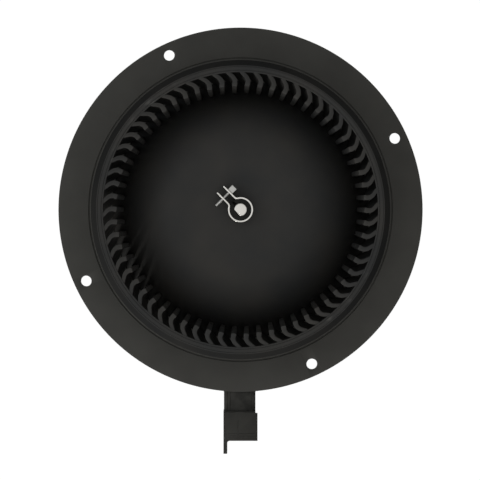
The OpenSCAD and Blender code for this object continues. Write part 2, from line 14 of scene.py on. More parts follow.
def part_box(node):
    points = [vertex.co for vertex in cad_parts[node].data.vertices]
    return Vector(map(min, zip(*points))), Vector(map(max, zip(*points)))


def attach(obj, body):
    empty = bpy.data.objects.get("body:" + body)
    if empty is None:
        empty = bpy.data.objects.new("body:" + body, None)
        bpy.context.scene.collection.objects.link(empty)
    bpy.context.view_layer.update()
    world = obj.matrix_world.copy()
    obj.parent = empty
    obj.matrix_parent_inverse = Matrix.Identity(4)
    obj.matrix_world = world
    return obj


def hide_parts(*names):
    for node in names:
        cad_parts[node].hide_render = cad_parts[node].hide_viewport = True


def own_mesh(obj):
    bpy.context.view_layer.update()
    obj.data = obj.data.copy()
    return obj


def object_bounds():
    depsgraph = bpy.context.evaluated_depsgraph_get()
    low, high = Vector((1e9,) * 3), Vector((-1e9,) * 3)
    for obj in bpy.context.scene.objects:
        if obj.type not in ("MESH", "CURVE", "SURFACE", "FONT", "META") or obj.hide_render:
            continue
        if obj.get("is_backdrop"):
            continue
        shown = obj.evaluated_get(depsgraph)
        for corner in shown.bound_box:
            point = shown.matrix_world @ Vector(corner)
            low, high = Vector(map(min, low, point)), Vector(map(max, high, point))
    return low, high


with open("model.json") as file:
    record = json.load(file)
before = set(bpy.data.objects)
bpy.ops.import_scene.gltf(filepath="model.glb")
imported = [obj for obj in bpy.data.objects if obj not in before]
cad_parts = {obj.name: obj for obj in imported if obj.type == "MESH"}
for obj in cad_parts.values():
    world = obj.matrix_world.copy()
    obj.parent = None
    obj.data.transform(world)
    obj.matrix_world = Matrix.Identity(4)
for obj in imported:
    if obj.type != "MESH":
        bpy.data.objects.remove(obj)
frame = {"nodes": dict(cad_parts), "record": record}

MM = 0.001
Flat = tuple[float, float]
Corner = tuple[float, float, float]
Thing = bpy.types.Object
Socket = bpy.types.NodeSocket

log = logging.getLogger("blower")


# ---------- places taken from the frame ----------

def low(node: str) -> Vector:
    """Lowest corner of a CAD node's box, in millimetres."""
    return Vector(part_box(node)[0]) / MM


def high(node: str) -> Vector:
    """Highest corner of a CAD node's box, in millimetres."""
    return Vector(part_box(node)[1]) / MM


def body_of(node: str) -> str:
    """Name of the body that a CAD node belongs to."""
    bodies = frame["record"]["behaviour"]["bodies"]
    return next(name for name, nodes in bodies.items() if node in nodes)


# ---------- shapes ----------

def polar(radius: float, degrees: float) -> Flat:
    """Flat point at a radius and an angle."""
    angle = math.radians(degrees)
    return (radius * math.cos(angle), radius * math.sin(angle))


def arc(radius: float, start: float, end: float, steps: int, centre: Flat = (0, 0)) -> list[Flat]:
    """Points along an arc.

    Args:
        radius: radius of the arc.
        start: first angle in degrees.
        end: last angle in degrees.
        steps: stretches that the arc is divided into.
        centre: middle of the arc.
    Returns:
        The points, both ends included.
    """
    turns = [start + (end - start) * step / steps for step in range(steps + 1)]
    return [(centre[0] + polar(radius, turn)[0], centre[1] + polar(radius, turn)[1]) for turn in turns]


def rounded(corners: Sequence[Corner], steps: int = 4) -> list[Flat]:
    """Round the corners of a closed outline.

    Args:
        corners: x, y and rounding radius of each corner, in order; radius 0 leaves it sharp.
        steps: stretches that each rounding is divided into.
    Returns:
        The points of the rounded outline.
    """
    points: list[Flat] = []
    for index, (x, y, radius) in enumerate(corners):
        here = Vector((x, y))
        if radius <= 0:
            points.append((x, y))
            continue
        before = Vector(corners[index - 1][:2]) - here
        after = Vector(corners[(index + 1) % len(corners)][:2]) - here
        opening = before.angle(after)
        run = min(radius / math.tan(opening / 2), 0.45 * before.length, 0.45 * after.length)
        start = here + before.normalized() * run
        end = here + after.normalized() * run
        for step in range(steps + 1):
            share = step / steps
            point = start.lerp(here, share).lerp(here.lerp(end, share), share)
            points.append((point.x, point.y))
    return points


def inset(outline: Sequence[Flat], amount: float) -> list[Flat]:
    """Move a closed outline's points inwards by an equal amount.

    Args:
        outline: points in order, either way round.
        amount: distance to move, in millimetres.
    Returns:
        The moved points.
    """
    if amount == 0:
        return list(outline)
    points = [Vector(point) for point in outline]
    area = sum(a.x * b.y - a.y * b.x for a, b in zip(points, points[1:] + points[:1]))
    side = 1 if area > 0 else -1
    moved: list[Flat] = []
    for index, point in enumerate(points):
        before = (point - points[index - 1]).normalized()
        after = (points[(index + 1) % len(points)] - point).normalized()
        normal_a = Vector((-before.y, before.x)) * side
        normal_b = Vector((-after.y, after.x)) * side
        middle = normal_a + normal_b
        if middle.length < 1e-6:
            moved.append((point.x, point.y))
            continue
        middle.normalize()
        shift = middle * (amount / max(middle.dot(normal_a), 0.6))
        moved.append((point.x + shift.x, point.y + shift.y))
    return moved


def smooth(thing: Thing, sharp: float = 32) -> Thing:
    """Shade a thing smooth, apart from its edges sharper than an angle in degrees."""
    thing.data.shade_smooth()
    thing.data.set_sharp_from_angle(angle=math.radians(sharp))
    return thing


def new_thing(name: str, shape: bmesh.types.BMesh) -> Thing:
    """Link a new object that holds a bmesh, and free the bmesh."""
    mesh = bpy.data.meshes.new(name)
    shape.to_mesh(mesh)
    shape.free()
    thing = bpy.data.objects.new(name, mesh)
    bpy.context.scene.collection.objects.link(thing)
    return thing


def closed(name: str, shape: bmesh.types.BMesh, sharp: float = 32) -> Thing:
    """Merge a bmesh's doubles, turn its faces outwards and make it a smooth object."""
    bmesh.ops.remove_doubles(shape, verts=shape.verts, dist=1e-6)
    loose = [edge for edge in shape.edges if not edge.link_faces]
    bmesh.ops.delete(shape, geom=loose, context="EDGES")
    bmesh.ops.recalc_face_normals(shape, faces=shape.faces)
    return smooth(new_thing(name, shape), sharp)


def loft(name: str, rings: Sequence[Sequence[Sequence[float]]], around: bool = False,
         sharp: float = 32) -> Thing:
    """Skin a row of closed rings.

    Args:
        name: name of the new object.
        rings: points of each ring in millimetres, the same count in each.
        around: whether the last ring joins the first; otherwise both ends are capped.
        sharp: angle in degrees past which an edge stays sharp.
    Returns:
        The skinned object.
    """
    shape = bmesh.new()
    rows = [[shape.verts.new(Vector(point) * MM) for point in ring] for ring in rings]
    pairs = list(zip(rows, rows[1:]))
    if around:
        pairs.append((rows[-1], rows[0]))
    count = len(rows[0])
    for first, second in pairs:
        for index in range(count):
            after = (index + 1) % count
            shape.faces.new((first[index], first[after], second[after], second[index]))
    if not around:
        shape.faces.new(rows[0])
        shape.faces.new(rows[-1])
    return closed(name, shape, sharp)


def lathe(name: str, profile: Sequence[Flat], segments: int = 128, start: float = 0,
          turn: float = 360, sharp: float = 32) -> Thing:
    """Turn a closed outline of radius and height round the shaft.

    Args:
        name: name of the new object.
        profile: radius and height of each point, in millimetres.
        segments: stretches round the axis.
        start: first angle in degrees.
        turn: angle that is swept, 360 for a full ring.
        sharp: angle in degrees past which an edge stays sharp.
    Returns:
        The turned object.
    """
    full = turn == 360
    count = segments if full else segments + 1
    rings = []
    for index in range(count):
        across, along = polar(1, start + turn * index / segments)
        rings.append([(radius * across, radius * along, height) for radius, height in profile])
    return loft(name, rings, full, sharp)


def prism(name: str, outline: Sequence[Flat], bottom: float, top: float, soft: float = 0,
          sharp: float = 32) -> Thing:
    """Raise an outline between two heights, with its end edges rounded.

    Args:
        name: name of the new object.
        outline: points in order, in millimetres.
        bottom: lower height.
        top: upper height.
        soft: rounding radius of the edges at both ends.
        sharp: angle in degrees past which an edge stays sharp.
    Returns:
        The raised object.
    """
    levels = [(bottom, 0.0), (top, 0.0)]
    if soft > 0:
        bends = [math.radians(angle) for angle in (0, 30, 60, 90)]
        levels = [(bottom + soft * (1 - math.sin(bend)), soft * (1 - math.cos(bend)))
                  for bend in reversed(bends)]
        levels += [(top - soft * (1 - math.sin(bend)), soft * (1 - math.cos(bend))) for bend in bends]
    rings = [[(x, y, height) for x, y in inset(outline, amount)] for height, amount in levels]
    return loft(name, rings, sharp=sharp)


def block(name: str, corner: Sequence[float], opposite: Sequence[float], soft: float = 0.3) -> Thing:
    """Box between two corners in millimetres, with all its edges rounded."""
    x0, y0, z0 = corner
    x1, y1, z1 = opposite
    outline = rounded([(x0, y0, soft), (x1, y0, soft), (x1, y1, soft), (x0, y1, soft)], 3)
    return prism(name, outline, z0, z1, soft)


def rod(name: str, radius: float, bottom: float, top: float, soft: float = 0.2, segments: int = 48,
        bore: float = 0) -> Thing:
    """Upright rod or tube on the axis, with rounded ends."""
    profile = rounded([(bore, bottom, soft if bore else 0), (radius, bottom, soft),
                       (radius, top, soft), (bore, top, soft if bore else 0)], 3)
    return lathe(name, profile, segments)


def shift(x: float = 0, y: float = 0, z: float = 0) -> Matrix:
    """Movement by millimetres."""
    return Matrix.Translation(Vector((x, y, z)) * MM)


def spin(degrees: float, axis: str = "Z") -> Matrix:
    """Rotation about a main axis."""
    return Matrix.Rotation(math.radians(degrees), 4, axis)


def moved(thing: Thing, *steps: Matrix) -> Thing:
    """Move a thing's mesh, the last matrix first, as the product of the matrices does."""
    matrix = Matrix.Identity(4)
    for step in steps:
        matrix = matrix @ step
    thing.data.transform(matrix)
    thing.data.update()
    return thing


def join(name: str, things: Iterable[Thing]) -> Thing:
    """Gather several things into one object and delete them."""
    shape = bmesh.new()
    for thing in things:
        shape.from_mesh(thing.data)
        bpy.data.objects.remove(thing)
    return new_thing(name, shape)


def settle(thing: Thing) -> Thing:
    """Turn a thing's modifiers into plain mesh."""
    bpy.context.view_layer.update()
    graph = bpy.context.evaluated_depsgraph_get()
    mesh = bpy.data.meshes.new_from_object(thing.evaluated_get(graph), depsgraph=graph)
    thing.modifiers.clear()
    thing.data = mesh
    mesh.name = thing.name
    return thing


def cut(thing: Thing, cutter: Thing, sharp: float = 32) -> Thing:
    """Take a cutter's volume out of a thing and delete the cutter."""
    modifier = thing.modifiers.new("cut", "BOOLEAN")
    modifier.operation = "DIFFERENCE"
    modifier.solver = "EXACT"
    modifier.object = cutter
    settle(thing)
    bpy.data.objects.remove(cutter)
    return smooth(thing, sharp)


def soften(thing: Thing, width: float, angle: float = 40, segments: int = 2) -> Thing:
    """Round a thing's edges.

    Args:
        thing: the object to change.
        width: width of the rounding, in millimetres.
        angle: smallest angle between faces, in degrees, at which an edge is rounded.
        segments: stretches across the rounding.
    Returns:
        The same object.
    """
    modifier = thing.modifiers.new("soften", "BEVEL")
    modifier.width = width * MM
    modifier.segments = segments
    modifier.limit_method = "ANGLE"
    modifier.angle_limit = math.radians(angle)
    modifier.use_clamp_overlap = True
    settle(thing)
    return smooth(thing)


def refined(name: str, node: str, width: float = 0.2, angle: float = 40) -> Thing:
    """Copy a CAD node's shape as a merged mesh with rounded edges.

    Args:
        name: name of the new object.
        node: the CAD node to copy.
        width: width of the rounding, in millimetres.
        angle: smallest angle at which an edge is rounded, in degrees.
    Returns:
        The new object.
    """
    shape = bmesh.new()
    shape.from_mesh(frame["nodes"][node].data)
    bmesh.ops.remove_doubles(shape, verts=shape.verts, dist=2e-6)
    bmesh.ops.dissolve_limit(shape, angle_limit=math.radians(0.6), verts=shape.verts, edges=shape.edges)
    return soften(new_thing(name, shape), width, angle)


# ---------- nodes ----------

def add_node(tree: bpy.types.NodeTree, kind: str, links: dict[str | int, object],
             **settings: object) -> bpy.types.Node:
    """Add a node to a tree.

    Args:
        tree: the tree that gets the node.
        kind: the node's type.
        links: a socket to link, or a value to set, for each input's name or number.
        settings: properties of the node to set before its sockets.
    Returns:
        The node.
    """
    node = tree.nodes.new(kind)
    for key, value in settings.items():
        setattr(node, key, value)
    for key, value in links.items():
        if isinstance(value, Socket):
            tree.links.new(value, node.inputs[key])
        else:
            node.inputs[key].default_value = value
    return node


# ---------- trees that repeat a shape ----------

class GrowingTree:
    """Geometry Nodes tree with named inputs, which grows plain meshes."""

    name = "tree"
    inputs: tuple[tuple[str, str], ...] = ()

    def __init__(self) -> None:
        """Make the tree's sockets, then its nodes."""
        self.tree = bpy.data.node_groups.new(self.name, "GeometryNodeTree")
        face = self.tree.interface
        face.new_socket("Geometry", in_out="INPUT", socket_type="NodeSocketGeometry")
        for label, kind in self.inputs:
            face.new_socket(label, in_out="INPUT", socket_type="NodeSocket" + kind)
        face.new_socket("Geometry", in_out="OUTPUT", socket_type="NodeSocketGeometry")
        self.given = self.tree.nodes.new("NodeGroupInput").outputs
        self.close(self.build())

    def add(self, kind: str, links: dict[str | int, object], **settings: object) -> bpy.types.Node:
        """Add a node to this tree."""
        return add_node(self.tree, kind, links, **settings)

    def build(self) -> Socket:
        """Make the nodes and return the geometry that they end in."""
        raise NotImplementedError

    def close(self, geometry: Socket) -> None:
        """End the tree in real geometry that carries its finish."""
        real = self.add("GeometryNodeRealizeInstances", {0: geometry})
        coated = self.add("GeometryNodeSetMaterial",
                          {"Geometry": real.outputs[0], "Material": self.given["Finish"]})
        out = self.tree.nodes.new("NodeGroupOutput")
        self.tree.links.new(coated.outputs[0], out.inputs[0])

    def grow(self, name: str, host: Thing | None = None, **values: object) -> Thing:
        """Grow a mesh from the tree.

        Args:
            name: name of the new object.
            host: object whose mesh the tree starts from, or none.
            values: a value for each named input, with spaces written as underscores.
        Returns:
            The grown object, with no modifier left on it.
        """
        thing = host or new_thing(name, bmesh.new())
        thing.name = name
        modifier = thing.modifiers.new(self.name, "NODES")
        modifier.node_group = self.tree
        for item in self.tree.interface.items_tree:
            key = item.name.replace(" ", "_")
            if item.in_out == "INPUT" and key in values:
                modifier[item.identifier] = values[key]
        return settle(thing)


class RingTree(GrowingTree):
    """Repeats a template round the shaft, each copy with a slightly different tone."""

    name = "ring_of_copies"
    inputs = (("Template", "Object"), ("Count", "Int"), ("Start", "Float"), ("Seed", "Int"),
              ("Finish", "Material"))

    def build(self) -> Socket:
        """Points on the axis, each holding the template turned by its share of a circle."""
        given = self.given
        points = self.add("GeometryNodePoints", {"Count": given["Count"]})
        share = self.add("ShaderNodeMath", {0: 2 * math.pi, 1: given["Count"]}, operation="DIVIDE")
        index = self.add("GeometryNodeInputIndex", {})
        turn = self.add("ShaderNodeMath", {0: index.outputs[0], 1: share.outputs[0], 2: given["Start"]},
                        operation="MULTIPLY_ADD")
        angles = self.add("ShaderNodeCombineXYZ", {2: turn.outputs[0]})
        template = self.add("GeometryNodeObjectInfo", {"Object": given["Template"]})
        copies = self.add("GeometryNodeInstanceOnPoints",
                          {"Points": points.outputs[0], "Instance": template.outputs["Geometry"],
                           "Rotation": angles.outputs[0]})
        tone = self.add("FunctionNodeRandomValue", {"Seed": given["Seed"]}, data_type="FLOAT")
        toned = self.add("GeometryNodeStoreNamedAttribute",
                         {"Geometry": copies.outputs[0], "Name": "tone", "Value": tone.outputs[1]},
                         data_type="FLOAT", domain="INSTANCE")
        return toned.outputs[0]

    def around(self, template: Thing, count: int, start: float = 0, seed: int = 7,
               finish: bpy.types.Material | None = None) -> Thing:
        """Replace a template by a ring of its copies.

        Args:
            template: the shape to repeat, in place at angle zero; it is deleted.
            count: number of copies.
            start: angle of the first copy, in degrees.
            seed: seed of the tones.
            finish: material of the copies.
        Returns:
            One mesh object that holds all the copies.
        """
        name = template.name
        template.name = name + "_template"
        ring = self.grow(name, Template=template, Count=count, Start=math.radians(start), Seed=seed,
                         Finish=finish)
        bpy.data.objects.remove(template)
        return smooth(ring)


class CoilTree(GrowingTree):
    """Winds a round wire into a helix that rises from the floor."""

    name = "wound_coil"
    inputs = (("Radius", "Float"), ("Wire", "Float"), ("Height", "Float"), ("Turns", "Float"),
              ("Sides", "Int"), ("Finish", "Material"))

    def build(self) -> Socket:
        """A spiral with a round profile, capped at both ends."""
        given = self.given
        path = self.add("GeometryNodeCurveSpiral",
                        {"Resolution": 24, "Rotations": given["Turns"], "Start Radius": given["Radius"],
                         "End Radius": given["Radius"], "Height": given["Height"]})
        round_wire = self.add("GeometryNodeCurvePrimitiveCircle",
                              {"Resolution": given["Sides"], "Radius": given["Wire"]})
        tube = self.add("GeometryNodeCurveToMesh",
                        {"Curve": path.outputs[0], "Profile Curve": round_wire.outputs[0],
                         "Fill Caps": True})
        return tube.outputs[0]

    def wind(self, name: str, radius: float, wire: float, height: float, turns: float,
             sides: int = 8) -> Thing:
        """Wind a coil, sizes in millimetres, from the origin upwards."""
        coil = self.grow(name, Radius=radius * MM, Wire=wire * MM, Height=height * MM, Turns=turns,
                         Sides=sides)
        return smooth(outward(coil), 60)


class TubeTree(GrowingTree):
    """Runs a round tube along a smooth curve through a chain of points."""

    name = "tube_on_a_route"
    inputs = (("Radius", "Float"), ("Spacing", "Float"), ("Sides", "Int"), ("Finish", "Material"))

    def build(self) -> Socket:
        """The host's chain of edges as a smooth curve, then as a capped tube."""
        given = self.given
        chain = self.add("GeometryNodeMeshToCurve", {0: given["Geometry"]})
        spline = self.add("GeometryNodeCurveSplineType", {"Curve": chain.outputs[0]},
                          spline_type="CATMULL_ROM")
        even = self.add("GeometryNodeResampleCurve",
                        {"Curve": spline.outputs[0], "Length": given["Spacing"]}, mode="LENGTH")
        round_tube = self.add("GeometryNodeCurvePrimitiveCircle",
                              {"Resolution": given["Sides"], "Radius": given["Radius"]})
        tube = self.add("GeometryNodeCurveToMesh",
                        {"Curve": even.outputs[0], "Profile Curve": round_tube.outputs[0],
                         "Fill Caps": True})
        return tube.outputs[0]

    def run(self, name: str, route: Sequence[Sequence[float]], radius: float, spacing: float = 1,
            sides: int = 12) -> Thing:
        """Run a tube along a route, sizes in millimetres."""
        shape = bmesh.new()
        chain = [shape.verts.new(Vector(point) * MM) for point in route]
        for first, second in zip(chain, chain[1:]):
            shape.edges.new((first, second))
        host = new_thing(name, shape)
        tube = self.grow(name, host, Radius=radius * MM, Spacing=spacing * MM, Sides=sides)
        return smooth(outward(tube), 60)


def outward(thing: Thing) -> Thing:
    """Merge a closed mesh's doubles and turn its faces outwards."""
    shape = bmesh.new()
    shape.from_mesh(thing.data)
    bmesh.ops.remove_doubles(shape, verts=shape.verts, dist=1e-7)
    bmesh.ops.recalc_face_normals(shape, faces=shape.faces)
    shape.to_mesh(thing.data)
    shape.free()
    return thing


RING = RingTree()
COIL = CoilTree()
TUBE = TubeTree()


# ---------- finishes ----------

class Paint:
    """A material's nodes, added by short calls that the finishes share."""

    def __init__(self, name: str) -> None:
        """Start a material with a bare surface shader."""
        self.material = bpy.data.materials.new(name)
        self.material.use_nodes = True
        self.tree = self.material.node_tree
        self.tree.nodes.clear()
        out = self.tree.nodes.new("ShaderNodeOutputMaterial")
        self.surface = self.tree.nodes.new("ShaderNodeBsdfPrincipled")
        self.tree.links.new(self.surface.outputs[0], out.inputs["Surface"])
        self.place = self.tree.nodes.new("ShaderNodeTexCoord").outputs["Object"]

    def add(self, kind: str, links: dict[str | int, object], **settings: object) -> bpy.types.Node:
        """Add a node to this material."""
        return add_node(self.material.node_tree, kind, links, **settings)

    def noise(self, scale: float, detail: float = 4, stretch: Corner = (1, 1, 1)) -> Socket:
        """Cloudy noise, stretched along the axes whose factor is small."""
        where = self.add("ShaderNodeMapping", {"Vector": self.place, "Scale": stretch})
        cloud = self.add("ShaderNodeTexNoise",
                         {"Vector": where.outputs[0], "Scale": scale, "Detail": detail})
        return cloud.outputs[0]

    def span(self, value: Socket, first: float, last: float, to_first: float = 0,
             to_last: float = 1) -> Socket:
        """Carry a value from one span to another, clamped."""
        spread = self.add("ShaderNodeMapRange", {"Value": value, "From Min": first, "From Max": last,
                                                 "To Min": to_first, "To Max": to_last})
        return spread.outputs[0]

    def times(self, first: Socket, second: Socket | float) -> Socket:
        """Product of two values."""
        return self.add("ShaderNodeMath", {0: first, 1: second}, operation="MULTIPLY").outputs[0]

    def plus(self, first: Socket, second: Socket | float) -> Socket:
        """Sum of two values."""
        return self.add("ShaderNodeMath", {0: first, 1: second}, operation="ADD").outputs[0]

    def blend(self, share: Socket, first: Socket | Corner, second: Socket | Corner) -> Socket:
        """Mix of two colours."""
        colours = [value if isinstance(value, Socket) else (*value, 1) for value in (first, second)]
        mix = self.add("ShaderNodeMix", {0: share, 6: colours[0], 7: colours[1]}, data_type="RGBA")
        return mix.outputs[2]

    def edges(self, first: float, last: float) -> Socket:
        """Share of edge colour, which rises along outer edges: wear, and on the moulded plastics also
        painted edge highlight and painted edge shade.
        """
        corner = self.tree.nodes.new("ShaderNodeNewGeometry").outputs["Pointiness"]
        return self.times(self.span(corner, first, last), self.span(self.noise(240), 0.35, 0.6))

    def relief(self, height: Socket, depth: float, strength: float = 1) -> None:
        """Raise the surface by a height, in metres at its fullest."""
        bump = self.add("ShaderNodeBump", {"Height": height, "Strength": strength, "Distance": depth})
        self.tree.links.new(bump.outputs[0], self.surface.inputs["Normal"])

    def coat(self, colour: Socket, roughness: Socket, **fixed: float) -> bpy.types.Material:
        """Link the colour and roughness, and set the values that are the same all over."""
        self.tree.links.new(colour, self.surface.inputs["Base Color"])
        self.tree.links.new(roughness, self.surface.inputs["Roughness"])
        for key, value in fixed.items():
            self.surface.inputs[key.replace("_", " ")].default_value = value
        return self.material


@dataclass(frozen=True)
class Finish:
    """A finish that a piece can wear."""

    name: str

    def build(self) -> bpy.types.Material:
        """Make the material."""
        raise NotImplementedError

    def material(self) -> bpy.types.Material:
        """The finish's material, made the first time it is asked for."""
        return bpy.data.materials.get(self.name) or self.build()

    def dress(self, thing: Thing) -> Thing:
        """Put the finish all over a thing."""
        thing.data.materials.clear()
        thing.data.materials.append(self.material())
        return thing


@dataclass(frozen=True)
class Moulding(Finish):
    """Moulded plastic with faint clouds of tone, a fine grain, and an edge colour that is part wear, part
    painted light: a painted highlight where it is paler, painted shade where it is darker.
    """

    base: Corner
    cloud: Corner
    edge_wear_and_light: Corner = (0.075, 0.074, 0.07)
    smoothest: float = 0.4
    roughest: float = 0.56
    gloss: float = 0.06
    cloud_scale: float = 45
    grain_scale: float = 1700
    grain_depth: float = 0.00004
    toned: bool = False

    def build(self) -> bpy.types.Material:
        """Clouds and speckle in the colour, grain in the relief."""
        paint = Paint(self.name)
        clouds = paint.span(paint.noise(self.cloud_scale, 5), 0.3, 0.7)
        colour = paint.blend(clouds, self.base, self.cloud)
        if self.toned:
            tone = paint.add("ShaderNodeAttribute", {}, attribute_name="tone").outputs["Fac"]
            colour = paint.blend(paint.times(tone, 0.3), colour, self.cloud)
        # Edges take the edge colour: part rubbed wear, part painted edge highlight where it is paler,
        # painted edge shade where it is darker.
        colour = paint.blend(paint.edges(0.53, 0.66), colour, self.edge_wear_and_light)
        patches = paint.span(paint.noise(self.cloud_scale * 2.6, 3), 0.3, 0.7, self.smoothest,
                             self.roughest)
        speckle = paint.span(paint.noise(self.grain_scale * 0.5, 2), 0.35, 0.65, -0.03, 0.03)
        grain = paint.noise(self.grain_scale, 3)
        paint.relief(grain, self.grain_depth, 0.5)
        return paint.coat(colour, paint.plus(patches, speckle), Specular_IOR_Level=self.gloss)


@dataclass(frozen=True)
class Metal(Finish):
    """Metal with drawn or turned streaks, dull patches, and corners polished by handling."""

    base: Corner
    dull: Corner
    stretch: Corner = (1, 1, 1)
    smoothest: float = 0.22
    roughest: float = 0.42
    streak_scale: float = 900
    streak_depth: float = 0.00001
    worn: float = 0.12

    def build(self) -> bpy.types.Material:
        """Streaks in the relief and roughness, patches in the colour."""
        paint = Paint(self.name)
        streaks = paint.noise(self.streak_scale, 3, self.stretch)
        patches = paint.span(paint.noise(110, 4), 0.35, 0.7)
        colour = paint.blend(patches, self.base, self.dull)
        bright = tuple(min(1.0, part + self.worn) for part in self.base)
        colour = paint.blend(paint.edges(0.53, 0.64), colour, bright)
        rough = paint.plus(paint.span(streaks, 0.3, 0.7, self.smoothest, self.roughest),
                           paint.times(patches, 0.08))
        paint.relief(streaks, self.streak_depth, 0.6)
        return paint.coat(colour, rough, Metallic=1.0)


@dataclass(frozen=True)
class Earthy(Finish):
    """Pressed or sintered stuff, such as ferrite, carbon, resin or board: speckled and pitted."""

    base: Corner
    fleck: Corner
    roughness: float = 0.6
    fleck_scale: float = 1400
    depth: float = 0.00005
    metallic: float = 0.0
    stretch: Corner = (1, 1, 1)

    def build(self) -> bpy.types.Material:
        """Flecks in the colour and pits in the relief."""
        paint = Paint(self.name)
        flecks = paint.span(paint.noise(self.fleck_scale, 3, self.stretch), 0.4, 0.65)
        clouds = paint.span(paint.noise(120, 4), 0.3, 0.7, 0, 0.6)
        colour = paint.blend(flecks, self.base, self.fleck)
        colour = paint.blend(clouds, colour, self.base)
        paler = tuple(min(1.0, part * 1.6 + 0.01) for part in self.base)
        colour = paint.blend(paint.edges(0.54, 0.66), colour, paler)
        rough = paint.span(flecks, 0, 1, self.roughness - 0.1, self.roughness + 0.1)
        paint.relief(flecks, self.depth, 0.5)
        return paint.coat(colour, rough, Metallic=self.metallic)


@dataclass(frozen=True)
class Strands(Finish):
    """Wound or plaited wire: fine ridges, with varnish patches that vary along them."""

    base: Corner
    dark: Corner
    scale: float = 900
    ridge_depth: float = 0.00012
    metallic: float = 1.0

    def build(self) -> bpy.types.Material:
        """Ridges made by a banded wave that a noise disturbs."""
        paint = Paint(self.name)
        bands = paint.add("ShaderNodeTexWave", {"Vector": paint.place, "Scale": self.scale,
                                                "Distortion": 2.5, "Detail": 2.0},
                          wave_type="BANDS", bands_direction="DIAGONAL").outputs[1]
        varnish = paint.span(paint.noise(160, 4), 0.35, 0.65)
        colour = paint.blend(paint.span(bands, 0, 0.6), self.dark, self.base)
        colour = paint.blend(paint.times(varnish, 0.5), colour, self.dark)
        colour = paint.blend(paint.edges(0.54, 0.66), colour, self.base)
        paint.relief(bands, self.ridge_depth, 0.7)
        return paint.coat(colour, paint.span(varnish, 0, 1, 0.28, 0.45), Metallic=self.metallic)


# Edge colour darker than the plastics that wear it: painted shade along their edges, standing in for dark
# edge outlines.
DARK_EDGE_SHADE = (0.016, 0.016, 0.015)
FLANGE_BLACK = Moulding("flange_black", (0.05, 0.0495, 0.046), (0.06, 0.0595, 0.055))
# Darker black for the arm: painted shade, standing in for the arm lying lower and shaded beside the flange.
ARM_SHADE_BLACK = Moulding("arm_black", (0.037, 0.0367, 0.034), (0.044, 0.0436, 0.04), DARK_EDGE_SHADE,
                     cloud_scale=90)
PLUG_BLACK = Moulding("plug_black", (0.037, 0.0365, 0.034), (0.042, 0.0415, 0.038), DARK_EDGE_SHADE,
                      cloud_scale=120)
WHEEL_BLACK = Moulding("wheel_black", (0.031, 0.032, 0.0325), (0.043, 0.0415, 0.0388),
                       cloud_scale=38, toned=True)
# Darker, unglossed black for the rim's bevel and outer wall: painted shade for the band sloping away from
# the light and the dark line at the rim's edge.
BEVEL_SHADE_BLACK = Moulding("bevel_black", (0.018, 0.0185, 0.0185), (0.024, 0.0235, 0.0225), DARK_EDGE_SHADE,
                       gloss=0.0, cloud_scale=38)
# Near-black for the hub's collar: painted shade, standing in for the collar lying in shadow below the clamp
# and shaft.
COLLAR_SHADE_BLACK = Moulding("collar_black", (0.011, 0.011, 0.0105), (0.015, 0.015, 0.014), DARK_EDGE_SHADE,
                        cloud_scale=300)
RUBBER = Moulding("isolator_rubber", (0.012, 0.012, 0.012), (0.018, 0.018, 0.018), smoothest=0.7,
                  roughest=0.85, gloss=0.15, cloud_scale=160)
SHEATH = Moulding("wire_sheath", (0.014, 0.012, 0.012), (0.022, 0.02, 0.02), smoothest=0.3,
                  roughest=0.42, cloud_scale=200, grain_depth=0.00001)
BRIGHT_STEEL = Metal("bright_steel", (0.8, 0.79, 0.765), (0.72, 0.71, 0.69), worn=0.1)
STRAP_STEEL = Metal("strap_steel", (0.78, 0.77, 0.74), (0.66, 0.65, 0.62), (1, 1, 0.08))
SCREW_STEEL = Metal("screw_steel", (0.8, 0.8, 0.78), (0.68, 0.68, 0.66), smoothest=0.3, roughest=0.5)
ZINC = Metal("zinc_plate", (0.56, 0.57, 0.58), (0.44, 0.45, 0.45), smoothest=0.3, roughest=0.5,
             streak_scale=400)
SPRING_STEEL = Metal("spring_steel", (0.42, 0.42, 0.42), (0.3, 0.3, 0.31))
BRONZE = Earthy("sintered_bronze", (0.42, 0.27, 0.12), (0.6, 0.42, 0.22), 0.42, metallic=1.0)
BRASS = Metal("contact_brass", (0.68, 0.5, 0.22), (0.5, 0.35, 0.15), (0.1, 1, 1))
COPPER = Metal("commutator_copper", (0.7, 0.36, 0.2), (0.42, 0.2, 0.11), (1, 1, 6), 0.2, 0.4)
FERRITE = Earthy("ferrite", (0.045, 0.045, 0.05), (0.1, 0.1, 0.11), 0.55)
LAMINATIONS = Metal("laminations", (0.3, 0.3, 0.31), (0.18, 0.17, 0.17), (0.02, 0.02, 1), 0.3, 0.5,
                    2200, 0.00003)
MAGNET_WIRE = Strands("enamelled_wire", (0.62, 0.26, 0.1), (0.28, 0.09, 0.03))
BRAID = Strands("copper_braid", (0.72, 0.38, 0.22), (0.3, 0.13, 0.07), 1600, 0.00008)
BOARD = Earthy("phenolic", (0.11, 0.045, 0.018), (0.2, 0.09, 0.04), 0.45, 900, stretch=(1, 0.1, 1))
FIBRE = Earthy("thrust_fibre", (0.62, 0.54, 0.36), (0.75, 0.68, 0.5), 0.6)
RESIN = Earthy("dipped_resin", (0.3, 0.11, 0.03), (0.38, 0.16, 0.05), 0.3, 300, 0.00002)
CARBON = Earthy("brush_carbon", (0.035, 0.035, 0.037), (0.09, 0.085, 0.08), 0.5)


def coat_faces(thing: Thing, finish: Finish, chosen: Callable[[Vector], bool]) -> Thing:
    """Give another finish to part of a thing.

    Args:
        thing: the dressed object.
        finish: the finish that the chosen faces wear.
        chosen: test of a face's centre in millimetres.
    Returns:
        The same object.
    """
    thing.data.materials.append(finish.material())
    last = len(thing.data.materials) - 1
    for face in thing.data.polygons:
        if chosen(face.center / MM):
            face.material_index = last
    return thing


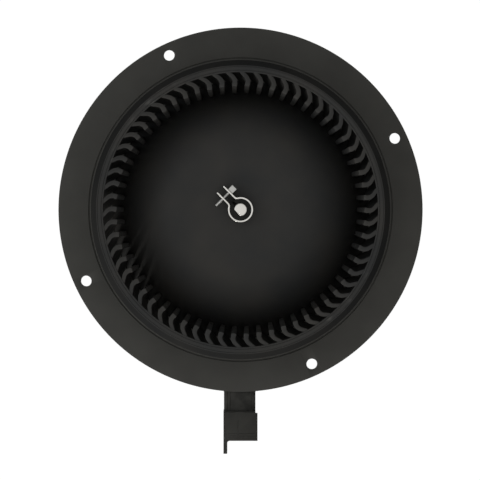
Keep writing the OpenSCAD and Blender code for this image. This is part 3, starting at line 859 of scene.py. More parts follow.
def enlist(thing: Thing, node: str, finish: Finish) -> Thing:
    """Let a finished piece stand for a CAD node.

    Args:
        thing: the piece, in place.
        node: the CAD node that it stands for, whose body it takes.
        finish: the finish that it wears.
    Returns:
        The piece.
    """
    finish.dress(thing)
    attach(thing, body_of(node))
    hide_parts(node)
    log.info("%s stands for %s: %d faces", thing.name, node, len(thing.data.polygons))
    return thing


def carry(name: str, node: str, width: float, finish: Finish) -> Thing:
    """Let a CAD node's own shape, with rounded edges, stand for it.

    Args:
        name: name of the piece.
        node: the CAD node to copy.
        width: width of the rounding, in millimetres.
        finish: the finish that the piece wears.
    Returns:
        The piece.
    """
    return enlist(refined(name, node, width), node, finish)


# ---------- rotor ----------

@dataclass
class Wheel:
    """The moulded wheel: hollow domed hub, ring of curved vanes, and rim."""

    radius: float = field(default_factory=lambda: high("wheel_rim").x)
    inlet: float = field(default_factory=lambda: high("wheel_rim").z)
    floor: float = field(default_factory=lambda: low("wheel_hub").z)
    collar_top: float = field(default_factory=lambda: high("wheel_hub").z)
    ring_inner: float = 68.8
    ring_middle: float = 72.2
    wall: float = 2.0
    collar: float = 5.5
    bore: float = 3.19
    slot_width: float = 1.2
    slot_angle: float = 135.0
    flat: float = 2.33
    flat_angle: float = 225.0
    crown: float = 52.0
    fall: float = 25.0
    fall_radius: float = 60.0
    power: float = 4.0
    boss: float = 8.0
    boss_bottom: float = 45.0
    vane_count: int = 62
    vane_tip: float = 74.0
    vane_foot: float = 61.0
    mouth: float = 62.0
    bend: float = 3.9
    bend_centre: Flat = (64.1, 3.42)
    bend_turn: float = 49.0
    tip_run: float = 10.6
    rim_depth: float = 5.6
    tip_lean: float = 0.42
    mouth_depth: float = 0.8

    def height(self, radius: float) -> float:
        """Height of the dome's outside at a radius."""
        return self.crown - self.fall * (radius / self.fall_radius) ** self.power

    def dome_radius(self, height: float) -> float:
        """Radius at which the dome's outside has a height."""
        return self.fall_radius * ((self.crown - height) / self.fall) ** (1 / self.power)

    def inside(self, radius: float) -> Flat:
        """Point of the dome's inside, straight below the wall at a radius."""
        slope = math.atan(self.fall * self.power / self.fall_radius
                          * (radius / self.fall_radius) ** (self.power - 1))
        return (radius - self.wall * math.sin(slope), self.height(radius) - self.wall * math.cos(slope))

    def hub(self) -> Thing:
        """Dome, plate and boss turned in one, with the split collar and stiffening ribs."""
        plate_top = self.floor + self.wall
        foot = self.dome_radius(plate_top)
        steps = 56
        radii = [self.collar + (foot - self.collar) * math.sin(math.pi / 2 * step / steps)
                 for step in range(steps + 1)]
        root = self.crown + 1
        profile = [(self.bore, root), (self.collar, root), (self.collar + 0.1, self.crown + 0.35),
                   (self.collar + 0.45, self.crown + 0.05)]
        profile += [(radius, self.height(radius)) for radius in radii[3:-1]]
        profile += [(foot + 0.15, plate_top + 0.5), (foot + 0.6, plate_top + 0.05),
                    (self.ring_inner - 0.3, plate_top), (self.ring_inner, plate_top - 0.3),
                    (self.ring_inner, self.floor + 0.3), (self.ring_inner - 0.3, self.floor)]
        profile += [(foot - self.wall + 0.3, self.floor), (foot - self.wall, self.floor + 0.4)]
        profile += [self.inside(radius) for radius in reversed(radii[6:-1])]
        ceiling = self.crown - self.wall
        profile += [(self.boss, ceiling - 0.2), (self.boss, self.boss_bottom + 0.4),
                    (self.boss - 0.4, self.boss_bottom), (self.bore, self.boss_bottom)]
        dome = lathe("dome", profile, 192)
        outline = arc(self.collar, self.slot_angle + 6.4, self.slot_angle + 353.6, 72)
        outline += self.bore_outline()
        collar = prism("collar", outline, self.crown + 0.6, self.collar_top, 0.15)
        rib = block("hub_rib", (self.boss - 1, -0.8, self.boss_bottom + 1), (24, 0.8, ceiling + 0.3))
        ribs = RING.around(rib, 6, 15)
        return join("hub_dome", [dome, collar, ribs])

    def bore_outline(self) -> list[Flat]:
        """Inside of the collar, from one side of its slot round the flat to the other."""
        half = math.degrees(math.asin(self.slot_width / 2 / self.bore))
        flat_half = math.degrees(math.acos(self.flat / self.bore))
        turns = [self.slot_angle + 360 - half - (360 - 2 * half) * step / 72 for step in range(73)]
        points: list[Flat] = []
        for turn in turns:
            away = (turn - self.flat_angle + 180) % 360 - 180
            reach = self.bore
            if abs(away) < flat_half:
                reach = self.flat / math.cos(math.radians(away))
            points.append(polar(reach, turn))
        return points

    def spine(self) -> list[Corner]:
        """Middle line of a vane: outward place, sideways place and half thickness."""
        x0, y0 = self.bend_centre
        points = [(58.5, 0.3, 0.8)]
        entry = (x0 + self.bend * math.sin(math.radians(-22)),
                 y0 - self.bend * math.cos(math.radians(-22)))
        before = (60.0, 0.25)
        control = (61.6, 0.1)
        for step in range(9):
            share = step / 8
            first = Vector(before).lerp(Vector(control), share)
            second = Vector(control).lerp(Vector(entry), share)
            point = first.lerp(second, share)
            points.append((point.x, point.y, 0.85 + 0.42 * share))
        for step in range(1, 15):
            turn = math.radians(-22 + (self.bend_turn + 22) * step / 14)
            points.append((x0 + self.bend * math.sin(turn), y0 - self.bend * math.cos(turn),
                           1.3 - 0.3 * step / 14))
        end = math.radians(self.bend_turn)
        last = points[-1]
        for step in range(1, 9):
            run = self.tip_run * 1.05 * step / 8
            points.append((last[0] + run * math.cos(end), last[1] + run * math.sin(end),
                           1.0 - 0.3 * step / 8))
        return points

    def on_spine(self, spine: Sequence[Corner], radius: float) -> tuple[Vector, Vector, float]:
        """Find where the middle line reaches a radius from the shaft.

        Args:
            spine: the points of the middle line.
            radius: distance from the shaft's axis.
        Returns:
            The place, the unit vector to the left of the line, and the half thickness there.
        """
        for first, second in zip(spine, spine[1:]):
            near = math.hypot(first[0], first[1])
            far = math.hypot(second[0], second[1])
            if radius <= far or second is spine[-1]:
                share = max(0.0, (radius - near) / (far - near))
                place = Vector(first).lerp(Vector(second), share)
                along = (Vector(second[:2]) - Vector(first[:2])).normalized()
                return Vector((place.x, place.y)), Vector((-along.y, along.x)), place.z
        raise ValueError("the middle line is empty")

    def vane_level(self, spine: Sequence[Corner], height: float, shrink: float) -> list[Corner]:
        """Closed outline of a vane at a height, made smaller all round by an amount."""
        depth = (self.inlet - height) / (self.inlet - self.height(self.vane_foot))
        slant = self.mouth - (self.mouth - self.vane_foot) * min(depth, 1.0)
        root = self.dome_radius(min(height, self.crown)) - 0.6
        inner = max(slant, root) + shrink
        outer = self.vane_tip - shrink
        under_rim = self.inlet - self.rim_depth
        if height > under_rim:
            outer -= (height - under_rim) * self.tip_lean
        if height > self.inlet - self.mouth_depth:
            outer = self.ring_inner + 0.4 - shrink
        stations = 16
        radii = [inner + (outer - inner) * (0.5 - 0.5 * math.cos(math.pi * step / stations))
                 for step in range(stations + 1)]
        left: list[Corner] = []
        right: list[Corner] = []
        for step, radius in enumerate(radii):
            place, side, half = self.on_spine(spine, radius)
            taper = 0.55 if step in (0, stations) else 1.0
            reach = side * (half - shrink) * taper
            left.append((place.x + reach.x, place.y + reach.y, height))
            right.append((place.x - reach.x, place.y - reach.y, height))
        return right + list(reversed(left))

    def vanes(self) -> Thing:
        """One vane skinned from floor to inlet, then repeated round the wheel."""
        spine = self.spine()
        foot = self.floor + 0.25
        top = self.inlet - 0.2
        levels = [(foot, 0.25), (foot + 0.1, 0.08), (foot + 0.3, 0.0)]
        levels += [(height, 0.0) for height in (11, 15, 20, 25, 30, 33, 36, 40, 45, 50, 56)]
        levels += [(self.inlet - 5.7, 0.0), (self.inlet - 0.9, 0.0), (top - 0.3, 0.0),
                   (top - 0.09, 0.08), (top, 0.28)]
        rings = [self.vane_level(spine, height, shrink) for height, shrink in levels]
        vane = loft("vane_ring", rings, sharp=45)
        return RING.around(vane, self.vane_count, seed=11, finish=WHEEL_BLACK.material())

    def rim(self) -> Thing:
        """Inlet ring: a flat face, a bevel that falls outwards, and a short outer wall."""
        top = self.inlet
        grooves: list[Corner] = []
        for place in (self.ring_inner + 0.7, self.ring_middle - 0.8):
            grooves += [(place, top - 0.02, 0.05), (place + 0.12, top - 0.3, 0.05),
                        (place + 0.32, top - 0.3, 0.05), (place + 0.44, top - 0.04, 0.05)]
        profile = rounded([(self.ring_inner, top, 0.3), *grooves, (self.ring_middle, top - 0.1, 0.12),
                           (self.radius - 0.6, top - 4.3, 0.2), (self.radius, top - 6.7, 0.1),
                           (self.vane_tip, top - 6.1, 0.2), (self.ring_middle, top - 1.7, 0.4),
                           (self.ring_inner, top - 1.7, 0.35)])
        return lathe("rim_ring", profile, 256, sharp=40)

    def build(self) -> None:
        """Build and dress the wheel's three pieces."""
        hub = enlist(self.hub(), "wheel_hub", WHEEL_BLACK)
        # The collar's faces get the painted-shade finish.
        coat_faces(hub, COLLAR_SHADE_BLACK, lambda centre: centre.z > self.crown + 0.7)
        enlist(self.vanes(), "wheel_vanes", WHEEL_BLACK)
        rim = enlist(self.rim(), "wheel_rim", WHEEL_BLACK)
        # The rim's bevel and outer wall get the painted-shade finish.
        coat_faces(rim, BEVEL_SHADE_BLACK, lambda centre: centre.xy.length > self.ring_middle + 0.4)


@dataclass
class HubClamp:
    """Spring-steel strap with two ears, drawn tight round the collar by a screw."""

    bottom: float = field(default_factory=lambda: low("hub_clamp").z)
    top: float = field(default_factory=lambda: high("hub_clamp").z)
    angle: float = 135.0
    inner: float = 5.5
    gauge: float = 0.85
    ear_offset: float = 2.265
    ear_gauge: float = 0.8
    reach: float = 14.4
    screw_at: float = 10.2
    screw_radius: float = 0.8
    screw_tail: float = 7.45
    head_half: float = 1.6
    head_corner: float = 0.3
    head_edge: float = 0.2
    head_height: float = 3.3
    key_radius: float = 0.9
    key_depth: float = 1.4
    pitch: float = 0.4

    def middle_line(self) -> list[Corner]:
        """Middle of the strap from one ear's tip round to the other's, with half its thickness."""
        ring = self.inner + self.gauge / 2
        lead_in = 33.0
        ear = self.ear_gauge / 2
        upper = [(self.reach - run, self.ear_offset, ear) for run in (0, 2, 4, 6)]
        corner = Vector((math.sqrt(ring ** 2 - self.ear_offset ** 2), self.ear_offset))
        begin = Vector((corner.x + 1.3, self.ear_offset))
        end = Vector(polar(ring, lead_in))
        bend = []
        for step in range(7):
            share = step / 6
            point = begin.lerp(corner, share).lerp(corner.lerp(end, share), share)
            bend.append((point.x, point.y, ear + (self.gauge / 2 - ear) * share))
        loop = [(x, y, self.gauge / 2) for x, y in arc(ring, lead_in, 360 - lead_in, 64)][1:-1]
        mirrored = [(x, -y, half) for x, y, half in reversed(upper + bend)]
        return upper + bend + loop + mirrored

    def strap(self) -> Thing:
        """The bent strip, raised along the shaft with rounded edges."""
        line = self.middle_line()
        left: list[Flat] = []
        right: list[Flat] = []
        for index, (x, y, half) in enumerate(line):
            before = line[max(index - 1, 0)]
            after = line[min(index + 1, len(line) - 1)]
            along = Vector((after[0] - before[0], after[1] - before[1])).normalized()
            left.append((x - along.y * half, y + along.x * half))
            right.append((x + along.y * half, y - along.x * half))
        strip = prism("clamp_strap", left + right[::-1], self.bottom, self.top, 0.16)
        return moved(strip, spin(self.angle))

    def screw(self) -> Thing:
        """Square-headed screw across the ears, with a key socket and a thread along its shank."""
        seat = self.ear_offset + self.ear_gauge / 2
        crown = seat + self.head_height
        half = self.head_half
        square = rounded([(x, y, self.head_corner)
                          for x, y in ((-half, -half), (half, -half), (half, half), (-half, half))], 3)
        head = prism("head", square, seat, crown, self.head_edge)
        key = prism("key", arc(self.key_radius, 0, 300, 5), crown - self.key_depth, crown + 1)
        head = cut(head, key)
        core = rod("core", self.screw_radius - 0.1, -self.screw_tail, seat + 0.5, 0.25, 32)
        turns = (self.screw_tail + seat - 0.6) / self.pitch
        thread = COIL.wind("thread", self.screw_radius - 0.12, 0.12, turns * self.pitch, turns, 6)
        moved(thread, shift(z=0.3 - self.screw_tail))
        screw = join("clamp_bolt", [head, core, thread])
        middle = (self.bottom + self.top) / 2
        return moved(screw, spin(self.angle), shift(self.screw_at, 0, middle), spin(90, "X"))

    def build(self) -> None:
        """Build and dress the strap and its screw."""
        enlist(self.strap(), "hub_clamp", STRAP_STEEL)
        enlist(self.screw(), "clamp_screw", SCREW_STEEL)


@dataclass
class Shaft:
    """Ground shaft with a flat milled on its wheel end."""

    tail: float = field(default_factory=lambda: low("rotor_shaft").z)
    tip: float = field(default_factory=lambda: high("rotor_shaft").z)
    radius: float = field(default_factory=lambda: high("rotor_shaft").x)
    flat: float = 2.31
    flat_angle: float = 225.0
    flat_from: float = 45.0

    def build(self) -> None:
        """Build the round length and the flatted end as one piece."""
        round_part = rod("round_part", self.radius, self.tail, self.flat_from, 0.4, 64)
        half = math.degrees(math.acos(self.flat / self.radius))
        outline = arc(self.radius, self.flat_angle + half, self.flat_angle + 360 - half, 60)
        end = prism("flatted_end", outline, self.flat_from - 0.5, self.tip, 0.35)
        enlist(join("shaft", [round_part, end]), "rotor_shaft", BRIGHT_STEEL)


@dataclass
class Armature:
    """Slotted core with its windings and commutator."""

    core_low: float = field(default_factory=lambda: low("armature_core").z)
    core_high: float = field(default_factory=lambda: high("armature_core").z)
    bar_low: float = field(default_factory=lambda: low("commutator_bars").z)
    bar_high: float = field(default_factory=lambda: high("commutator_bars").z)
    slots: int = 12
    slot_at: float = 19.6
    overhang: float = 3.4
    wire_bundle: float = 2.5
    span: float = 60.0
    bar_inner: float = 7.5
    bar_outer: float = 11.0
    riser: float = 12.5
    riser_height: float = 1.5
    bar_gap: float = 0.7

    def coil(self) -> Thing:
        """One bundle: up a slot, over the core's end, down another slot and back under."""
        over = self.core_high + self.overhang
        under = self.core_low - self.overhang
        rise = [(*polar(self.slot_at, -self.span), height)
                for height in (self.core_low + 2, 6, self.core_high - 2)]
        across = [(*polar(self.slot_at - 3.5 * math.cos(math.radians(turn * 1.5)), turn), over)
                  for turn in (-48, -24, 0, 24, 48)]
        drop = [(*polar(self.slot_at, self.span), height)
                for height in (self.core_high - 2, 6, self.core_low + 2)]
        back = [(x, y, under) for x, y, _ in reversed(across)]
        start = [(*polar(self.slot_at, -self.span), self.core_low + 1.2)]
        return TUBE.run("winding_loops", rise + across + drop + back + start, self.wire_bundle, 1.6, 12)

    def wedge(self, outer: float, bottom: float, top: float, soft: float) -> Thing:
        """Share of a ring that one bar fills, out to a radius, between two heights."""
        half = 180 / self.slots
        trim = math.degrees(self.bar_gap / 2 / self.bar_outer)
        inner_trim = trim * 1.4
        outline = arc(outer, trim - half, half - trim, 6)
        outline += arc(self.bar_inner + 0.1, half - inner_trim, inner_trim - half, 6)
        return prism("commutator_segments", outline, bottom, top, soft)

    def bar(self) -> Thing:
        """One commutator bar with its riser."""
        step = self.bar_high - self.riser_height
        length = self.wedge(self.bar_outer, self.bar_low, step, 0.15)
        riser = self.wedge(self.riser, step - 0.1, self.bar_high, 0.2)
        return join("commutator_segments", [length, riser])

    def build(self) -> None:
        """Build and dress the armature's pieces."""
        carry("core_stack", "armature_core", 0.15, LAMINATIONS)
        coils = RING.around(self.coil(), self.slots, seed=3)
        enlist(coils, "armature_windings", MAGNET_WIRE)
        bars = RING.around(self.bar(), self.slots, seed=5)
        enlist(bars, "commutator_bars", COPPER)
        carry("commutator_hub", "commutator_core", 0.2, BOARD)
        carry("thrust_rings", "thrust_washers", 0.15, FIBRE)


# ---------- housing ----------

@dataclass
class MountingFlange:
    """Round flange with its dish, motor pocket, ribs, bosses and the arm for the leads."""

    radius: float = field(default_factory=lambda: high("mounting_flange").x)
    pocket_bottom: float = field(default_factory=lambda: low("mounting_flange").z)
    pocket_top: float = field(default_factory=lambda: high("mounting_flange").z)
    arm_end: float = field(default_factory=lambda: low("mounting_flange").y)
    thickness: float = 3.0
    hole_circle: float = 92.1
    hole: float = 2.9
    hole_angle: float = 24.8
    dish: float = 76.5
    dish_wall: float = 2.5
    floor: float = -5.5
    floor_wall: float = 2.5
    pocket: float = 39.0
    pocket_wall: float = 2.5
    lip: float = 35.2
    lip_wall: float = 2.0
    rib_count: int = 12
    rib_bottom: float = -21.5
    boss_at: float = 47.0
    boss: float = 4.2
    boss_bottom: float = -38.0
    thread: float = 1.7
    arm: Flat = (-9.0, 8.1)
    arm_back: float = -15.0
    arm_wall: float = 2.0
    moat_radius: float = 81.9
    moat_width: float = 0.9
    moat_depth: float = 0.8

    def plate(self) -> Thing:
        """Flange, dish and pocket turned in one, with the four screw holes cut."""
        outer = self.pocket + self.pocket_wall
        under = self.floor - self.floor_wall
        profile = rounded([
            (self.lip, self.pocket_top, 0.4), (outer, self.pocket_top, 0.5), (outer, self.floor, 0.8),
            (self.dish, self.floor, 1.2), (self.dish, 0, 0.7), *self.moat(), (self.radius, 0, 0.25),
            (self.radius, -self.thickness, 0.6), (self.dish + self.dish_wall, -self.thickness, 0.8),
            (self.dish + self.dish_wall, under, 1.0), (outer, under, 1.0),
            (outer, self.pocket_bottom, 0.6), (self.pocket, self.pocket_bottom, 0.5),
            (self.pocket, self.pocket_top - self.lip_wall, 0.3),
            (self.lip, self.pocket_top - self.lip_wall, 0.3)])
        plate = lathe("plate", profile, 224)
        flare = 0.35
        depth = self.thickness
        spool = lathe("spool", [(0, 1), (self.hole + flare, 1), (self.hole + flare, 0),
                                (self.hole + 0.1, -0.12), (self.hole, -flare),
                                (self.hole, flare - depth), (self.hole + flare, -depth),
                                (self.hole + flare, -depth - 1), (0, -depth - 1)], 48)
        moved(spool, shift(self.hole_circle))
        plate = cut(plate, RING.around(spool, 4, self.hole_angle))
        left, right = self.arm
        window = block("window", (left + self.arm_wall, -self.pocket - 4.5, self.arm_back + 1),
                       (right - self.arm_wall, 1 - self.pocket, -8))
        return cut(plate, window)

    def moat(self) -> list[Corner]:
        """Corners of the narrow groove in the face, just outside the wheel."""
        half, deep = self.moat_width / 2, self.moat_depth
        return [(self.moat_radius - half, 0, 0.12), (self.moat_radius - half + 0.1, -deep, 0.1),
                (self.moat_radius + half - 0.1, -deep, 0.1), (self.moat_radius + half, 0, 0.12)]

    def ribs(self) -> Thing:
        """Webs under the dish, running out from the pocket."""
        outer = self.pocket + self.pocket_wall
        outline = rounded([(outer - 1, self.floor - 1, 0), (self.dish + 1, self.floor - 1, 0),
                           (self.dish, self.floor - 3.5, 0.8), (outer - 1, self.rib_bottom, 1.0)])
        web = prism("webs", outline, -1, 1, 0.35)
        moved(web, spin(90, "X"))
        return RING.around(web, self.rib_count, 180 / self.rib_count)

    def bosses(self) -> Thing:
        """Screw bosses for the cover, each tied to the pocket by a web."""
        post = rod("post", self.boss, self.boss_bottom, self.floor - 1, 0.4, 40, self.thread)
        moved(post, shift(self.boss_at))
        web = block("web", (self.pocket + 1, -2, self.boss_bottom + 0.3),
                    (self.boss_at - self.thread - 1, 2, self.floor - 1), 0.4)
        return RING.around(join("bosses", [post, web]), 3, 90)

    def channel(self, near: float, far: float, front: float) -> Thing:
        """Stretch of the arm's channel between two distances from the shaft, open at the back."""
        left, right = self.arm
        wall = self.arm_wall
        outline = rounded([
            (left, self.arm_back, 0.4), (left, front, 0.6), (right, front, 0.6),
            (right, self.arm_back, 0.4), (right - wall, self.arm_back, 0.4),
            (right - wall, front - wall, 0.5), (left + wall, front - wall, 0.5),
            (left + wall, self.arm_back, 0.4)], 3)
        stretch = prism("stretch", outline, near, far, 0.15)
        return moved(stretch, spin(90, "X"))

    def arm_pieces(self) -> list[Thing]:
        """The arm's three stretches, its corner gussets and the fine ribs along its face."""
        reach = -self.arm_end
        front = -self.thickness
        pieces = [self.channel(self.dish - 1, self.radius - 2, front),
                  self.channel(self.radius - 2.4, reach, front),
                  self.channel(self.pocket + 1, self.dish + 1, self.floor - 0.6)]
        for place in (-7.2, -5.6, 5.8):
            pieces.append(block("line", (place - 0.22, -reach + 0.2, front - 0.4),
                                (place + 0.22, -self.radius + 2, front + 0.16), 0.12))
        for side, edge in zip((-1, 1), self.arm):
            root = -math.sqrt(self.radius ** 2 - edge ** 2)
            corners = [(edge, root + 1), (edge + side * 1.1, root + 1), (edge + side * 0.5, root - 0.1),
                       (edge + side * 0.2, root - 0.25), (edge, root - 0.8), (edge - side, root - 0.8)]
            pieces.append(prism("gusset", corners, front - 2, front, 0.1))
        return pieces

    def build(self) -> None:
        """Build and dress the flange as one piece."""
        pieces = [self.plate(), self.ribs(), self.bosses(), *self.arm_pieces()]
        flange = enlist(join("flange_moulding", pieces), "mounting_flange", FLANGE_BLACK)
        # The arm's faces beyond the flange's rim get the darker finish: painted shade.
        coat_faces(flange, ARM_SHADE_BLACK, lambda centre: centre.y < -self.radius)


@dataclass
class Connector:
    """Connector shell on the arm's end, with its blades and the leads that run to the motor."""

    left: float = field(default_factory=lambda: low("connector_shell").x)
    right: float = field(default_factory=lambda: high("connector_shell").x)
    front: float = field(default_factory=lambda: high("connector_shell").z)
    arm_start: float = field(default_factory=lambda: low("mounting_flange").y)
    mouth: float = -125.3
    seam_at: float = -1.45
    blade_height: float = -10.5
    blade_gap: float = 3.3
    blade_middle: float = -0.45
    barrel_end: float = -103.4
    lead: float = 1.0

    def shell(self) -> Thing:
        """The moulded shell, with a raised panel edge, a parting line and grip lines."""
        body = refined("body", "connector_shell", 0.35)
        details = [block("seam", (self.seam_at - 0.12, self.mouth + 0.3, self.front - 0.3),
                         (self.seam_at + 0.12, self.arm_start - 0.5, self.front + 0.06), 0.05)]
        for place in (-121.5, -122.8, -123.9):
            details.append(block("grip", (self.left + 2.6, place - 0.14, self.front - 0.3),
                                 (self.right - 0.6, place + 0.14, self.front + 0.07), 0.05))
        details.append(block("ledge", (self.left + 0.3, self.arm_start - 0.75, self.front - 0.3),
                             (self.right - 1.4, self.arm_start - 0.35, self.front + 0.1), 0.08))
        return join("plug_shell", [body, *details])

    def lead_route(self, side: int) -> list[Corner]:
        """Route of one lead from its crimp along the arm and down behind the motor.

        Args:
            side: -1 for the lead on the left, 1 for the one on the right.
        Returns:
            The points of the route, in millimetres.
        """
        x = self.blade_middle + side * self.blade_gap
        level = self.blade_height
        return [(x, self.barrel_end, level), (x, -95, level), (x, -80, level - 0.4),
                (x, -62, level - 0.4), (x, -48, level), (x, -41, level - 0.5),
                (x + side * 0.2, -38, level - 2.5), (x + side * 0.4, -36.6, -17),
                (x + side * 0.8, -36.4, -26), (x + side * 1.4, -36, -33), (side * 5.5, -33.5, -36),
                (side * 6.2, -30, -36.4), (side * 6.5, -27.6, -35), (side * 6.5, -27, -32),
                (side * 6.5, -27, -25.6)]

    def build(self) -> None:
        """Build and dress the shell, the blades and the leads."""
        enlist(self.shell(), "connector_shell", PLUG_BLACK)
        carry("blades", "terminal_blades", 0.12, BRASS)
        leads = [TUBE.run("lead", self.lead_route(side), self.lead, 1.2) for side in (-1, 1)]
        enlist(join("leads", leads), "lead_wires", SHEATH)


@dataclass
class RearCover:
    """Vented cover over the motor's rear, held by three screws."""

    bottom: float = field(default_factory=lambda: low("rear_cover").z)
    skirt_top: float = field(default_factory=lambda: high("rear_cover").z)
    skirt: float = 43.9
    skirt_wall: float = 2.2
    plate: float = 2.5
    ring: float = 38.8
    ring_wall: float = 1.8
    vents: int = 6
    vent: Flat = (15.0, 31.0)
    vent_half: float = 12.0
    ear_at: float = 47.0
    ear: float = 4.2
    ear_top: float = -38.0
    ear_height: float = 2.5
    hole: float = 1.9
    head: float = 3.0
    head_height: float = 2.2
    cross: Flat = (1.8, 0.4)
    cross_depth: float = 1.1
    shank: float = 1.7
    shank_length: float = 11.0

    def cover(self) -> Thing:
        """Plate, skirt and locating ring, with vents, stiffening ribs and screw ears."""
        inner = self.skirt - self.skirt_wall
        floor = self.bottom + self.plate
        ring_in = self.ring - self.ring_wall
        profile = rounded([
            (0, self.bottom, 0), (self.skirt, self.bottom, 0.9), (self.skirt, self.skirt_top, 0.5),
            (inner, self.skirt_top, 0.4), (inner, floor, 0.4), (self.ring, floor, 0.4),
            (self.ring, self.ear_top, 0.5), (ring_in, self.ear_top, 0.5), (ring_in, floor, 0.5),
            (0, floor, 0)])
        shell = lathe("shell", profile, 160)
        near, far = self.vent
        half = self.vent_half
        corners = [(*polar(near, -half), 1.2)] + [(*point, 0) for point in arc(far, -half + 2, half - 2, 5)]
        corners = [corners[0], (*polar(far, -half), 1.4), *corners[1:], (*polar(far, half), 1.4),
                   (*polar(near, half), 1.2)]
        vent = prism("vents", rounded(corners, 3), self.bottom - 1, floor + 1)
        shell = cut(shell, RING.around(vent, self.vents, 180 / self.vents))
        soften(shell, 0.3, 55)
        rib = block("spokes", (8, -0.7, floor - 0.3), (ring_in + 0.3, 0.7, floor + 1.4), 0.3)
        spokes = RING.around(rib, self.vents, 0)
        return join("vented_cover", [shell, spokes, self.ears()])

    def ears(self) -> Thing:
        """Lugs that the screws go through."""
        outline = [(self.skirt - 1.2, -self.ear), *arc(self.ear, -90, 90, 16, (self.ear_at, 0)),
                   (self.skirt - 1.2, self.ear)]
        lug = prism("lugs", outline, self.ear_top - self.ear_height, self.ear_top, 0.35)
        drill = rod("drill", self.hole, self.ear_top - 4, self.ear_top + 2, 0.1, 32)
        lug = cut(lug, moved(drill, shift(self.ear_at)))
        return RING.around(lug, 3, 90)

    def screws(self) -> Thing:
        """Pan-head screws with a cross recess."""
        seat = self.ear_top - self.ear_height
        face = seat - self.head_height
        profile = rounded([(0, face, 0), (self.head * 0.75, face, 0.6), (self.head, face + 1.2, 0.5),
                           (self.head, seat, 0.15), (0, seat, 0)], 4)
        head = lathe("screws", profile, 48)
        arm, slim = self.cross
        cross = [(arm, -slim), (arm, slim), (slim, slim), (slim, arm), (-slim, arm), (-slim, slim),
                 (-arm, slim), (-arm, -slim), (-slim, -slim), (-slim, -arm), (slim, -arm), (slim, -slim)]
        head = cut(head, prism("cross", cross, face - 1, face + self.cross_depth))
        shank = rod("shank", self.shank - 0.15, seat - 0.5, seat + self.shank_length, 0.5, 32)
        thread = COIL.wind("thread", self.shank - 0.17, 0.17, 9.0, 11, 6)
        moved(thread, shift(z=seat + 1.6))
        screw = moved(join("cover_fasteners", [head, shank, thread]), shift(self.ear_at))
        return RING.around(screw, 3, 90)

    def build(self) -> None:
        """Build and dress the cover and its screws."""
        enlist(self.cover(), "rear_cover", FLANGE_BLACK)
        enlist(self.screws(), "cover_screws", ZINC)


@dataclass
class MotorCase:
    """Drawn can with its end bell, magnets, bearings and rubber isolators."""

    radius: float = field(default_factory=lambda: high("motor_can").x)
    bottom: float = field(default_factory=lambda: low("motor_can").z)
    cup_top: float = field(default_factory=lambda: high("motor_can").z)
    shoulder: float = 38.0
    gauge: float = 1.6
    cup: float = 8.6
    cup_inner: float = 7.0
    shaft_hole: float = 4.0
    lip: float = 0.8
    vents: int = 4
    vent: float = 4.0
    vent_at: float = 21.0

    def can(self) -> Thing:
        """Deep-drawn can: rolled shoulder, bearing cup and four vents."""
        inner = self.radius - self.gauge
        ceiling = self.shoulder - self.gauge
        profile = rounded([
            (inner, self.bottom, 0.3), (self.radius, self.bottom, 0.4),
            (self.radius, self.shoulder, 4.0), (self.cup, self.shoulder, 1.0),
            (self.cup, self.cup_top, 1.0), (self.shaft_hole, self.cup_top, 0.2),
            (self.shaft_hole, self.cup_top - self.lip, 0.2), (self.cup_inner, self.cup_top - self.lip, 0.5),
            (self.cup_inner, ceiling, 0.6), (inner, ceiling, 2.6)], 6)
        can = lathe("drawn_can", profile, 128)
        vent = rod("vents", self.vent, ceiling - 1, self.shoulder + 1, 0.1, 40)
        return cut(can, RING.around(moved(vent, shift(self.vent_at)), self.vents, 45))

    def build(self) -> None:
        """Build and dress the case and what it holds."""
        enlist(self.can(), "motor_can", ZINC)
        carry("rear_bell", "end_bell", 0.25, ZINC)
        carry("magnet_pair", "field_magnets", 0.5, FERRITE)
        carry("magnet_springs", "magnet_clips", 0.15, SPRING_STEEL)
        carry("isolator_pads", "motor_isolators", 0.5, RUBBER)
        for end in ("front", "rear"):
            carry(end + "_bush", end + "_bearing", 0.2, BRONZE)
            clip = end + "_bearing_clip"
            carry(end + "_retainer", clip, 0.1, SPRING_STEEL)


class BrushSide(Enum):
    """The two brushes, each by the turn from the first, in degrees."""

    A = 0
    B = 180

    @property
    def letter(self) -> str:
        """Letter that ends the names of this side's nodes and joint."""
        return self.name.lower()

    @property
    def way(self) -> int:
        """Direction along Y in which this side's brush moves away from the shaft."""
        return 1 if self is BrushSide.A else -1


